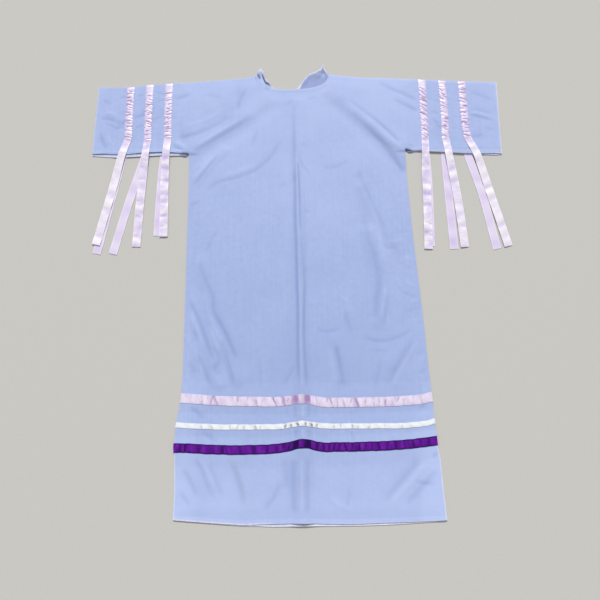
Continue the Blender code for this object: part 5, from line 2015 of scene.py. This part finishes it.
@dataclass
class Gathers:
    """The face of a gathered ribbon: its puffs, the pinches between them and the ticks at its edges."""

    seed: int
    top: float
    bottom: float
    flat: float
    count: int
    lean: float
    width: float
    puff: float = 1.7
    depth: float = 1.35
    edge_share: float = 1.4
    patch_share: float = 1.2
    pull_in: float = 0.07
    shut_most: float = 1.15
    # puff_tone lightens the whole gathered face; pinch_tone is the painted shade in the pinches:
    puff_tone: float = 0.10
    pinch_tone: float = 1.25

    def pinch(self, draw: np.random.Generator, centre: float, y: Array, s: Array) -> Array:
        """Draws one pinch.

        Args:
            draw: where its numbers come from.
            centre: how far up the sleeve it is.
            y: stations down the sleeve.
            s: shares across the ribbon.

        Returns:
            How deep it is at each point, up to about 1.
        """
        tilt = 0.7 * self.lean + draw.uniform(-0.35, 0.35)
        reach = PINCH_REACHES[int(draw.integers(len(PINCH_REACHES)))]
        across = soft_step((s - reach.start) / 0.16) * soft_step((reach.end - s) / 0.16)
        bend = draw.uniform(-2.4, 2.4) * (4.0 * s * s - 0.3) + draw.uniform(-0.5, 0.5) * np.sin(9.0 * s)
        away = (y - centre + tilt * s * self.width + bend) / draw.uniform(1.1, 2.2)
        return np.exp(-np.abs(away) ** 2.2) * across * draw.uniform(0.62, 1.0)

    def tick(self, draw: np.random.Generator, side: float, y: Array, s: Array) -> Array:
        """Draws one short tick at an edge.

        Args:
            draw: where its numbers come from.
            side: -1 for the left edge, 1 for the right one.
            y: stations down the sleeve.
            s: shares across the ribbon.

        Returns:
            How deep it is at each point.
        """
        centre = draw.uniform(self.bottom + 3.0, self.top - self.flat)
        across = soft_step((side * s - 0.5 + draw.uniform(0.14, 0.30)) / 0.14)
        away = (y - centre + draw.uniform(-5.0, 5.0) * (s - 0.5 * side)) / draw.uniform(0.8, 1.4)
        return bell(away) * across * draw.uniform(0.35, 0.75)

    def face(self, y: Array, s: Array) -> tuple[Array, Array, Array]:
        """The relief of the gathered stretch.

        Args:
            y: stations down the sleeve, as a column.
            s: shares across the ribbon, as a line.

        Returns:
            How high the face stands, its tone (painted shade in the pinches and ticks, patches of painted
            highlight and shade), and how far its edges are drawn in, as a share.
        """
        draw = np.random.default_rng(self.seed)
        start = self.top - self.flat
        widths = draw.uniform(0.5, 1.5, self.count)
        shut = np.zeros_like(y * s)
        for centre in start - np.cumsum(widths) / widths.sum() * (start - self.bottom - 5.0):
            shut += self.pinch(draw, centre, y, s)
        ticks = round(self.count * self.edge_share)
        for side in [-1.0] * ticks + [1.0] * ticks:
            shut = np.maximum(shut, self.tick(draw, side, y, s))
        shut = np.minimum(shut, self.shut_most)
        swell = 0.78 + 0.22 * np.sin(y * 0.21 + self.seed) * np.sin(y * 0.063 + 2.0 * self.seed)
        height = self.puff * swell * (1.0 - np.abs(2.0 * s) ** 3.0)
        height = height * mix(0.45, 1.0, soft_step((start - y) / 12.0))
        # Painted shade in the pinches and ticks.
        tone = self.puff_tone - self.pinch_tone * shut
        # Random patches of painted highlight, a few of painted shade.
        for _ in range(round(self.count * self.patch_share)):
            at, beside = draw.uniform(self.bottom, self.top), draw.uniform(-0.38, 0.38)
            patch = bell((y - at) / draw.uniform(2.0, 5.0), (s - beside) / draw.uniform(0.10, 0.24))
            tone += draw.uniform(-0.35, 0.75) * patch
        drawn = self.pull_in * np.clip(shut, 0.0, 1.0)
        return np.maximum(height - self.depth * shut, 0.0), tone, drawn


@dataclass
class Ribbon(ABC):
    """A ribbon sewn to the dress, in a front half and a back one."""

    form: DressForm
    size: RibbonSize | BandSize
    across_points: int = 13

    def shares(self) -> Array:
        """The places across the ribbon, from one edge to the other."""
        return np.linspace(-0.5, 0.5, self.across_points)

    @abstractmethod
    def front_strip(self) -> Strip:
        """The front half's stations."""

    @abstractmethod
    def back_strip(self) -> Strip:
        """The back half's stations."""

    def build(self, satin: Material) -> Strip:
        """Args:
            satin: what they are dressed in.

        Returns:
            The front half.
        """
        size, front, back = self.size, self.front_strip(), self.back_strip()
        for strip, side, held in ((front, "front", size.held), (back, "back", "laid")):
            piece = strip.build(f"{size.name}_{side}_satin", satin)
            middle = strip.points[:, self.across_points // 2]
            run = np.linalg.norm(np.diff(middle, axis=0), axis=1).sum()
            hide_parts(f"{size.name}_{side}")
            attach(piece, "root")
            LOG.info("%s: cut %.1f x %.0f mm", piece.name, size.width, run)
        return front


class Stretch(NamedTuple):
    """Stations of a ribbon: their points, their tone (painted shade and highlight) and mottle (how much of
    the painted reflection patches shows), and the cut length that each takes.
    """

    points: Array
    tone: Array
    mottle: Array
    length: float


@dataclass
class SleeveRibbon(Ribbon):
    """One ribbon over a sleeve: its gathered stretch and tail in front, and its plain run behind."""

    gathered_width: float = 20.4
    tack_width: float = 19.5
    widening: float = 110.0
    gather_step: float = 1.2
    tail_step: float = 3.0
    back_step: float = 5.0
    wrap_step: float = 0.9
    wrap: tuple = ((1.25, 0.8), (1.3, 1.6), (0.9, 2.3), (0.1, 0.0), (-1.0, 0.0))
    # Painted shade where the ribbon wraps round the shoulder fold:
    wrap_tone: float = -0.45
    tail_drop: float = 66.0
    tail_wave: float = 2.0
    tail_clearance: float = 0.5
    fullness: float = 1.35
    # How much of the satin's painted reflection patches shows:
    gather_mottle: float = 0.45
    back_mottle: float = 0.08

    def top(self) -> float:
        """How far up the shoulder fold lies at the ribbon's middle."""
        return float(self.form.plan.front_top(np.array([self.size.x]))[0])

    def front_path(self) -> Path:
        """The line of the front tail, from its tack."""
        return Path((Point(self.size.tack_x, self.size.tack_y),) + self.size.front_tail)

    def back_path(self) -> Path:
        """The line of the back tail, from its tack behind the sleeve."""
        return Path((Point(self.size.x, self.size.tack_y),) + self.size.back_tail)

    def tail_base(self, x: Array, y: Array) -> Array:
        """Lays the front tail over the sleeve, then down to the floor or the back tail.

        Args:
            x: places across.
            y: places along.

        Returns:
            The height of each point.
        """
        walls = self.form.walls
        edge = self.form.plan.underarm(Layer.FRONT, x)
        lift = walls.ribbon_seat + self.tail_clearance
        on_sleeve = self.form.front_top(x, np.maximum(y, edge)) + lift
        path, end, width = self.back_path(), self.size.back_tail[-1].y, self.size.width
        aside = np.abs(x - path.x(np.maximum(y, end))) - width
        covered = soft_step((y - end + width) / width)
        rest = walls.underlay_raise * soft_step(1.0 - aside / width) * covered + 0.05
        fallen = mix(self.form.front_top(x, edge) + lift, rest, soft_step((edge - y) / self.tail_drop))
        return np.where(y >= edge, on_sleeve, fallen)

    def wrapped(self) -> Stretch:
        """Lays the stations round the shoulder fold, from under it on to the front's cloth.

        Returns:
            The stations; one with no height of its own lies on the cloth.
        """
        out, height = np.array(self.wrap).T[..., None]
        x = self.size.x + self.shares() * self.gathered_width + 0.0 * out
        y = self.form.plan.front_top(x) + out
        on_cloth = self.form.front_top(x, y - 2.0) + self.form.walls.ribbon_seat
        points = stacked(x, y, np.where(height > 0.0, height, on_cloth))
        return Stretch(points, self.wrap_tone, self.gather_mottle, self.wrap_step)

    def gathered(self) -> Stretch:
        """Lays the gathered stations, from the shoulder fold to the tack.

        Returns:
            The stations.
        """
        size, s, top = self.size, self.shares(), self.top()
        bend = Point(mix(size.x, size.tack_x, 0.2), size.tack_y + 40.0)
        line = Path((Point(size.x, top), bend, Point(size.tack_x, size.tack_y)))
        flat = size.flat_share * (top - size.tack_y)
        gathers = Gathers(size.seed, top, size.tack_y, flat, size.gathers, size.lean, self.gathered_width)
        y = spread(top - 2.0, size.tack_y + 2.0, self.gather_step)[:, None]
        rise, tone, drawn = gathers.face(y, s)
        x = line.x(y) + s * self.gathered_width * (1.0 - drawn)
        y = np.broadcast_to(y, x.shape)
        z = self.form.front_top(x, y) + self.form.walls.ribbon_seat + rise
        return Stretch(stacked(x, y, z), tone, self.gather_mottle, self.gather_step * self.fullness)

    def tail(self) -> Stretch:
        """Lays the stations of the front tail, from its tack to its end.

        Returns:
            The stations.
        """
        size, s, path = self.size, self.shares(), self.front_path()
        y = spread(size.tack_y, size.front_tail[-1].y, self.tail_step)[:, None]
        across_x, across_y = path.across(y)
        width = mix(self.tack_width, size.width, soft_step((size.tack_y - 8.0 - y) / self.widening))
        x, flat_y = path.x(y) + across_x * width * s, y + across_y * width * s
        height, tone = self.tail_relief(size.tack_y - y, s)
        points = stacked(x, flat_y, self.tail_base(x, flat_y) + height)
        return Stretch(points, tone, soft_step((size.tack_y - y + 6.0) / 20.0), self.tail_step)

    def tail_relief(self, down: Array, s: Array) -> tuple[Array, Array]:
        """Shapes the front tail, with its tack ridge and its slow waves.

        Args:
            down: how far below the tack each station is, as a column.
            s: shares across the ribbon.

        Returns:
            How high its face stands over its base, and its tone: painted shade at the tack, painted
            highlight and shade with the waves, paler selvages.
        """
        size = self.size
        draw = np.random.default_rng(size.seed + 100)
        loose = soft_step((down - 8.0) / 30.0)
        wave = np.zeros_like(down * s)
        for _ in range(4):
            length, phase = draw.uniform(26.0, 62.0), draw.uniform(0.0, 6.28)
            slant = draw.uniform(-0.6, 0.6) * size.width * s
            wave += draw.uniform(0.5, 1.0) * np.sin(2.0 * math.pi * (down + slant) / length + phase)
        wave = self.tail_wave * 0.5 * (1.0 + wave / 2.6)
        cup = 0.5 * np.sin(down * 0.05 + size.seed) * (np.abs(2.0 * s) ** 2.0)
        tack = 1.2 * bell(down / 2.2) * (1.0 - np.abs(2.0 * s) ** 4.0)
        # Painted shade along the tack, painted highlight and shade following the waves; paler selvages at
        # the edges.
        tone = -1.0 * bell((down + 1.5) / 1.6) + 0.40 * loose * (wave - self.tail_wave * 0.45)
        tone = tone + 0.05 * (1.0 - loose) + 0.42 * soft_step((np.abs(s) - 0.40) / 0.06)
        return loose * np.maximum(0.0, wave + cup) + tack, tone + size.front_shade * loose

    def strip(self, *stretches: Stretch) -> Strip:
        """Puts stretches together as a strip, with a chart that follows its length.

        Args:
            stretches: the parts, in order.

        Returns:
            The strip.
        """
        grids = [[np.broadcast_to(part, stretch.points.shape[:2]) for part in stretch[1:]]
                 for stretch in stretches]
        tone, mottle, lengths = (np.concatenate(parts) for parts in zip(*grids))
        points = np.concatenate([stretch.points for stretch in stretches])
        chart = stacked(self.shares() * self.size.width + self.size.x, np.cumsum(lengths, axis=0))
        return Strip(points, tone, mottle, chart, self.form.walls.ribbon)

    def front_strip(self) -> Strip:
        """The front's stations: round the shoulder, gathered, tacked, then the tail."""
        return self.strip(self.wrapped(), self.gathered(), self.tail())

    def back_strip(self) -> Strip:
        """Lays the plain run behind the sleeve and its tail, flat on the floor.

        Returns:
            The back half.
        """
        size, s, path = self.size, self.shares(), self.back_path()
        y = np.concatenate([spread(self.top() + 1.3, size.tack_y, 12.0)[:-1],
                            spread(size.tack_y, size.back_tail[-1].y, self.back_step)])[:, None]
        straight, low = y >= size.tack_y, np.minimum(y, size.tack_y)
        across_x, across_y = path.across(low)
        x = np.where(straight, size.x, path.x(low)) + np.where(straight, 1.0, across_x) * size.width * s
        loose = soft_step((300.0 - y) / 40.0)
        ripple = 0.22 * loose * (1.0 + np.sin(y * 0.13 + size.seed + 2.0 * s))
        points = stacked(x, y + np.where(straight, 0.0, across_y) * size.width * s, ripple)
        tone = 0.16 * loose * np.sin(y * 0.10 + size.seed) + 0.48 * soft_step((np.abs(s) - 0.38) / 0.08)
        return self.strip(Stretch(points, tone + size.back_shade, self.back_mottle, self.back_step))


@dataclass
class SkirtRibbon(Ribbon):
    """One ribbon sewn round the skirt, puckered in front and plain behind."""

    step: float = 1.6
    back_step: float = 8.0
    side_reach: float = 1.15
    # How much of the satin's painted reflection patches shows:
    mottle: float = 0.5
    wobble: float = 0.45
    ends: tuple = ((0.9, 0.62), (1.15, 0.25), (0.7, 0.0))

    def relief(self, x: Array, s: Array) -> tuple[Array, Array]:
        """Shapes the ribbon's face: its crown and puckers, with painted shade and highlight at the puckers,
        painted faint creases and darker edges.

        Args:
            x: places across the dress.
            s: shares across the ribbon.

        Returns:
            How high its face stands over the cloth, and its tone: painted shade and highlight.
        """
        size = self.size
        crown = 1.0 - np.abs(2.0 * s) ** 2.6
        drift = 0.55 + 0.30 * np.sin(x * 0.11 + size.width) + 0.15 * np.sin(x * 0.37)
        height, tone = size.crown * drift * crown, 0.10 * np.sin(x * 0.23 + 3.0 * s)
        draw = np.random.default_rng(round(size.width))
        for pucker in size.puckers:
            reach = size.reaches[int(draw.integers(len(size.reaches)))]
            reach = size.reaches[0] if pucker.half_width > 4.0 else reach
            across = soft_step((s - reach.start) / 0.42) * soft_step((reach.end - s) / 0.42)
            bend = draw.uniform(-1.6, 1.6) * np.sin(5.0 * s)
            aside = x - pucker.x + 2.0 * pucker.lean * s + bend
            away = aside / pucker.half_width
            profile = np.exp(-np.abs(away) ** 2.6) * pucker.depth * across
            height -= 0.9 * profile * crown
            # Painted shade in the pucker, broader painted shade round it, and a painted highlight beside
            # it.
            tone -= size.pinch_tone * profile * (1.0 - 0.30 * np.abs(2.0 * s))
            tone -= 0.12 * bell(away / 2.6) * pucker.depth
            tone += 0.30 * bell((aside - pucker.half_width - 1.8) / 1.5) * pucker.depth * crown
        # Faint creases that are only painted, mostly as shade, some as highlight.
        for _ in range(size.faint_creases):
            at, tilt = draw.uniform(x.min(), x.max()), draw.uniform(-7.0, 7.0)
            beside, half = draw.uniform(-0.45, 0.45), draw.uniform(0.9, 2.2)
            faint = bell((x - at + tilt * s) / half, (s - beside) / 0.22)
            tone += draw.choice((-0.30, -0.22, 0.30)) * faint
        # Darker edges: the selvage, with painted contact shadow.
        tone += size.edge_tone * soft_step((np.abs(s) - 0.34) / 0.10)
        return np.maximum(height, 0.0), tone

    def edge_wobble(self, x: Array, s: Array) -> Array:
        """Finds how far the ribbon's edges stray: drawn in at the puckers, and a slow sway.

        Args:
            x: places across the dress.
            s: shares across the ribbon.

        Returns:
            How far up each point is moved.
        """
        drawn = np.zeros_like(x)
        for pucker in self.size.puckers:
            edge_x = pucker.x - 2.0 * pucker.lean * s
            drawn = drawn + 0.45 * pucker.depth * bell((x - edge_x) / (pucker.half_width + 1.0))
        sway = self.wobble * np.sin(x * 0.062 + self.size.width) * np.sin(x * 0.151 + 2.0)
        return sway - 2.0 * s * np.minimum(drawn, 0.7)

    def sides(self) -> tuple[float, float]:
        """Where the ribbon's line meets the side seams."""
        plan, row = self.form.plan, self.size.row
        return float(plan.side_x(Side.LEFT, row.left_y)), float(plan.side_x(Side.RIGHT, row.right_y))

    def flat(self, x: Array) -> tuple[Array, Array]:
        """The plan places of stations at x, before the ribbon settles."""
        y = self.form.plan.row_y(self.size.row, x)[:, None] + self.shares() * self.size.width
        return np.broadcast_to(x[:, None], y.shape), y

    def turned(self, side: Side, row: Array) -> Array:
        """Turns the ribbon round a side seam.

        Args:
            side: which seam.
            row: the ribbon's last station before it.

        Returns:
            The stations round it, from under the edge up to the front.
        """
        edge, low = self.form.plan.side_x(side, row[:, 1]), self.form.walls.underlay_raise - 0.5
        return np.array([stacked(edge + side.value * out, row[:, 1], mix(row[:, 2], low, share))
                         for out, share in self.ends])

    def strip(self, points: Array, tone: Array, along: Array) -> Strip:
        """Puts stations together as a strip, with a chart that follows the ribbon."""
        chart = stacked(self.shares() * self.size.width, along[:, None])
        return Strip(points, tone, np.full_like(tone, self.mottle), chart, self.form.walls.ribbon)

    def front_strip(self) -> Strip:
        """Lays the front's stations, from round the left side to round the right one.

        Returns:
            The front half.
        """
        (left, right), s = self.sides(), self.shares()
        x = spread(left + 0.6, right - 0.6, self.step)
        wide, y = self.flat(x)
        inland = np.minimum(wide - left, right - wide)
        y = y + (self.edge_wobble(wide, s) + self.size.shift(wide)) * soft_step(inland / 20.0)
        rise, tone = self.relief(wide, s)
        z = self.form.front_top(wide, y) + self.form.walls.ribbon_seat + rise * soft_step(inland / 9.0)
        rows, blank = stacked(wide, y, z), np.zeros((len(self.ends), len(s)))
        left_end, right_end = self.turned(Side.LEFT, rows[0]), self.turned(Side.RIGHT, rows[-1])[::-1]
        out = np.arange(len(self.ends)) + 1.0
        along = np.concatenate([x[0] - out[::-1], x, x[-1] + out])
        points = np.concatenate([left_end, rows, right_end])
        return self.strip(points, np.concatenate([blank, tone, blank]), along)

    def back_strip(self) -> Strip:
        """Lays the back's stations, flat on the floor.

        Returns:
            The back half.
        """
        left, right = self.sides()
        x = spread(left - self.side_reach, right + self.side_reach, self.back_step)
        wide, y = self.flat(x)
        return self.strip(stacked(wide, y, np.zeros_like(y)), np.zeros_like(y), x)


# The stitches' node tree: its inputs, its nodes (each with its settings and its inputs' values), and
# its links (from a node's output to a node's input). In a Random Value node, inputs 2 and 3 are the
# least and the most of a plain number, and output 1 is that number.
STITCH_INPUTS = {
    "Lines": "Geometry", "Pitch": "Float", "Stitch Length": "Float", "Stitch Width": "Float",
    "Sway": "Float", "Seed": "Int", "Thread": "Material",
}
STITCH_NODES = {
    "given": ("NodeGroupInput", {}, {}),
    "curve": ("GeometryNodeMeshToCurve", {}, {}),
    "spaced": ("GeometryNodeCurveToPoints", {"mode": "LENGTH"}, {}),
    "aligned": ("FunctionNodeAlignRotationToVector", {"axis": "X"}, {}),
    "opposite": ("ShaderNodeMath", {"operation": "MULTIPLY"}, {1: -1.0}),
    "sway": ("FunctionNodeRandomValue", {"data_type": "FLOAT"}, {}),
    "turn": ("ShaderNodeCombineXYZ", {}, {}),
    "rotation": ("FunctionNodeEulerToRotation", {}, {}),
    "turned": ("FunctionNodeRotateRotation", {"rotation_space": "LOCAL"}, {}),
    "bead": ("GeometryNodeMeshIcoSphere", {}, {"Radius": 0.5, "Subdivisions": 1}),
    "size": ("ShaderNodeCombineXYZ", {}, {}),
    "shaped": ("GeometryNodeTransform", {}, {}),
    "placed": ("GeometryNodeInstanceOnPoints", {}, {}),
    "real": ("GeometryNodeRealizeInstances", {}, {}),
    "dressed": ("GeometryNodeSetMaterial", {}, {}),
    "made": ("NodeGroupOutput", {}, {}),
}
STITCH_LINKS = (
    ("given", "Lines", "curve", "Mesh"),
    ("curve", "Curve", "spaced", "Curve"),
    ("given", "Pitch", "spaced", "Length"),
    ("spaced", "Tangent", "aligned", "Vector"),
    ("given", "Sway", "opposite", 0),
    ("opposite", "Value", "sway", 2),
    ("given", "Sway", "sway", 3),
    ("given", "Seed", "sway", "Seed"),
    ("sway", 1, "turn", "Z"),
    ("turn", "Vector", "rotation", "Euler"),
    ("aligned", "Rotation", "turned", "Rotation"),
    ("rotation", "Rotation", "turned", "Rotate By"),
    ("given", "Stitch Length", "size", "X"),
    ("given", "Stitch Width", "size", "Y"),
    ("given", "Stitch Width", "size", "Z"),
    ("bead", "Mesh", "shaped", "Geometry"),
    ("size", "Vector", "shaped", "Scale"),
    ("spaced", "Points", "placed", "Points"),
    ("shaped", "Geometry", "placed", "Instance"),
    ("turned", "Rotation", "placed", "Rotation"),
    ("placed", "Instances", "real", "Geometry"),
    ("real", "Geometry", "dressed", "Geometry"),
    ("given", "Thread", "dressed", "Material"),
    ("dressed", "Geometry", "made", "Stitches"),
)


@dataclass
class StitchTool:
    """Lays even stitches along lines, by Geometry Nodes."""

    pitch: float
    length: float
    seed: int
    width: float = 0.42
    sway: float = 0.10

    def make_tree(self) -> bpy.types.NodeTree:
        """Builds the node tree: lines, points a pitch apart, a stitch on each.

        Returns:
            The tree.
        """
        tree = bpy.data.node_groups.new("running_stitch", "GeometryNodeTree")
        for name, kind in STITCH_INPUTS.items():
            tree.interface.new_socket(name, in_out="INPUT", socket_type=f"NodeSocket{kind}")
        tree.interface.new_socket("Stitches", in_out="OUTPUT", socket_type="NodeSocketGeometry")
        nodes = {}
        for name, (kind, settings, values) in STITCH_NODES.items():
            nodes[name] = tree.nodes.new(kind)
            for key, value in settings.items():
                setattr(nodes[name], key, value)
            for key, value in values.items():
                nodes[name].inputs[key].default_value = value
        for source, output, target, given in STITCH_LINKS:
            tree.links.new(nodes[source].outputs[output], nodes[target].inputs[given])
        return tree

    def guide(self, name: str, lines: Sequence[Array]) -> Object:
        """Makes the seams' lines as one mesh of edges.

        Args:
            name: the object's name.
            lines: the seams' points, in millimetres.

        Returns:
            The object.
        """
        points, edges, count = [], [], 0
        for line in lines:
            points += (line * MM).tolist()
            edges += [(count + k, count + k + 1) for k in range(len(line) - 1)]
            count += len(line)
        mesh = bpy.data.meshes.new(name)
        mesh.from_pydata(points, edges, [])
        return add_to_scene(name, mesh)

    def sew(self, name: str, lines: Sequence[Array], thread: ThreadFinish) -> None:
        """Sews along lines and makes the stitches one plain mesh.

        Args:
            name: the piece's name.
            lines: the seams' points, in millimetres.
            thread: what the stitches are sewn with.
        """
        tree, guide = self.make_tree(), self.guide(f"{name}_guide", lines)
        sewing = guide.modifiers.new("sewing", "NODES")
        sewing.node_group = tree
        values = {
            "Pitch": self.pitch * MM, "Stitch Length": self.length * MM, "Seed": self.seed,
            "Stitch Width": self.width * MM, "Sway": self.sway, "Thread": thread.material(),
        }
        for item in tree.interface.items_tree:
            if item.in_out == "INPUT" and item.name in values:
                sewing[item.identifier] = values[item.name]
        guide.update_tag()
        graph = bpy.context.evaluated_depsgraph_get()
        mesh = bpy.data.meshes.new_from_object(guide.evaluated_get(graph))
        guide.modifiers.remove(sewing)
        bpy.data.objects.remove(guide, do_unlink=True)
        mesh.name = name
        mesh.shade_smooth()
        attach(add_to_scene(name, mesh), "root")
        LOG.info("%s: %d faces", name, len(mesh.polygons))


@dataclass(frozen=True)
class Sewing:
    """All the stitching that shows: ribbon edges, hems and the neck."""

    form: DressForm
    hem_inset: float = 8.0
    neck_inset: float = 5.5
    neck_drop: float = 6.0
    cuff_inset: float = 7.0
    ribbon_inset: float = 0.085
    lift: float = 0.12
    ribbon_lift: float = 0.05
    gathered_length: float = 172.0
    hem_ends: tuple = (-304.0, 336.0)
    cuff_ends: tuple = (345.0, 555.0)
    underarm_ends: tuple = ((Side.LEFT, -557.0, -306.0), (Side.RIGHT, 304.0, 551.0))
    step: float = 5.0

    def on_front(self, x: Array, y: Array) -> Array:
        """A line of points on the front's upper face."""
        return stacked(x, y, self.form.front_top(x, y) + self.lift)

    def neck_line(self) -> Array:
        """The neck's seam, as far as the ruffled part of its edge.

        Returns:
            The line's points.
        """
        plan = self.form.plan
        turn = np.linspace(-1.0, 1.0, 90)
        half = plan.neck_half_width + self.neck_inset * 0.2
        x = plan.neck_middle + half * np.sign(turn) * np.abs(turn) ** 0.8
        share = np.minimum(1.0, np.abs(x - plan.neck_middle) / half)
        depth = plan.neck_depth + self.neck_inset - self.neck_drop
        y = plan.neck_top - self.neck_drop - depth * plan.scoop(share)
        flat = x > NECK_RUFFLE[-1].x
        return self.on_front(x[flat], y[flat])

    def hem_lines(self) -> list[Array]:
        """Finds the seams that hold the hems of skirt, neck and sleeves.

        Returns:
            Each seam's points.
        """
        plan, x = self.form.plan, spread(*self.hem_ends, self.step)
        lines = [self.on_front(x, plan.hem_y(Layer.FRONT, x) + self.hem_inset), self.neck_line()]
        for side, start, end in self.underarm_ends:
            x, y = spread(start, end, self.step), spread(*self.cuff_ends, self.step)
            lines.append(self.on_front(x, plan.underarm(Layer.FRONT, x) + self.cuff_inset))
            lines.append(self.on_front(plan.cuff_x(side, y) - side.value * self.cuff_inset, y))
        return lines

    def edge_lines(self, strip: Strip) -> list[Array]:
        """The seams along both edges of a ribbon."""
        return [strip.top_line(share, self.ribbon_lift)
                for share in (self.ribbon_inset, 1.0 - self.ribbon_inset)]

    def build(self, bands: dict[Satin, Strip], sleeves: list[Strip]) -> None:
        """Sews everything down.

        Args:
            bands: the front halves of the skirt ribbons, by their satin.
            sleeves: the front halves of the sleeve ribbons.
        """
        for satin, strip in bands.items():
            lines = [line[4:-4] for line in self.edge_lines(strip)]
            StitchTool(2.8, 1.9, 7).sew(f"{satin.value}_stitches", lines, THREADS[satin])
        lines = [line for strip in sleeves for line in self.edge_lines(strip)]
        lines = [line[line[:, 1] > line[5, 1] - self.gathered_length][5:] for line in lines]
        StitchTool(2.6, 1.7, 5).sew("sleeve_ribbon_stitches", lines, THREADS[Satin.LILAC])
        StitchTool(2.9, 2.1, 9).sew("hem_stitches", self.hem_lines(), HEM_THREAD)


@dataclass(frozen=True)
class Studio:
    """The pale floor, the soft light from beyond the neck, and the camera above the hem."""

    elevation: float = 76.5
    roll: float = 0.8
    distance: float = 1.548
    target: tuple = (0.0, -0.065, 0.0)
    lens: float = 36.0
    sensor: float = 36.0
    clip_end: float = 50.0
    floor_size: float = 9.0
    floor_drop: float = 0.0004
    key_strength: float = 2.9
    key_angle: float = 10.0
    key_elevation: float = 40.0
    key_azimuth: float = 90.0
    key_colour: tuple = (1.0, 0.99, 0.975)
    sky: float = 0.40
    sky_colour: tuple = (0.97, 0.985, 1.0, 1.0)

    def floor(self) -> None:
        """Lays the floor just under the dress."""
        half, mesh = self.floor_size / 2, bpy.data.meshes.new("floor")
        corners = [(x * half, y * half, -self.floor_drop) for x, y in ((-1, -1), (1, -1), (1, 1), (-1, 1))]
        mesh.from_pydata(corners, [], [(0, 1, 2, 3)])
        mesh.materials.append(FloorFinish().material())
        add_to_scene("floor", mesh)

    def lights(self) -> None:
        """Sets a soft key light and an even sky."""
        key = bpy.data.lights.new("key", "SUN")
        key.energy, key.angle, key.color = self.key_strength, math.radians(self.key_angle), self.key_colour
        tilt, turn = math.radians(90.0 - self.key_elevation), math.radians(self.key_azimuth + 90.0)
        add_to_scene("key", key).rotation_euler = (tilt, 0.0, turn)
        world = bpy.data.worlds.new("sky")
        world.use_nodes = True
        background = world.node_tree.nodes["Background"]
        background.inputs["Color"].default_value = self.sky_colour
        background.inputs["Strength"].default_value = self.sky
        bpy.context.scene.world = world

    def camera(self) -> None:
        """Looks down from above the hem, a little turned."""
        rise, roll = math.radians(self.elevation), math.radians(self.roll)
        forward = np.array([0.0, math.cos(rise), -math.sin(rise)])
        right = np.array([1.0, 0.0, 0.0])
        down = np.array([0.0, -math.sin(rise), -math.cos(rise)])
        across = math.cos(roll) * right + math.sin(roll) * down
        below = -math.sin(roll) * right + math.cos(roll) * down
        turned = np.eye(4)
        place = np.array(self.target) - self.distance * forward
        turned[:3] = np.column_stack([across, -below, -forward, place])
        data = bpy.data.cameras.new("camera")
        data.lens, data.sensor_width, data.sensor_fit = self.lens, self.sensor, "HORIZONTAL"
        data.clip_end = self.clip_end
        camera = add_to_scene("camera", data)
        camera.matrix_world = Matrix(turned.tolist())
        bpy.context.scene.camera = camera

    def build(self) -> None:
        """Sets floor, lights, camera and plain display colours."""
        self.floor()
        self.lights()
        self.camera()
        bpy.context.scene.view_settings.view_transform = "Standard"


def main() -> None:
    """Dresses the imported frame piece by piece."""
    logging.basicConfig(level=logging.INFO, format="%(name)s: %(message)s")
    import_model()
    Studio().build()
    form = DressForm(DressPlan(), BANDS)
    cloth = ClothFinish().material()
    satins = {finish.slot: finish.material() for finish in SATINS}
    Panel(form, Layer.BACK, 8.0, 3.6, 125.0, neck_rows=2.5).build(cloth)
    Panel(form, Layer.FRONT, 3.3, 2.5, 39.0).build(cloth)
    bands = {size.satin: SkirtRibbon(form, size).build(satins[size.satin]) for size in BANDS}
    sleeves = [SleeveRibbon(form, size).build(satins[size.satin]) for size in SLEEVE_RIBBONS]
    Sewing(form).build(bands, sleeves)


if __name__ == "__main__":
    main()
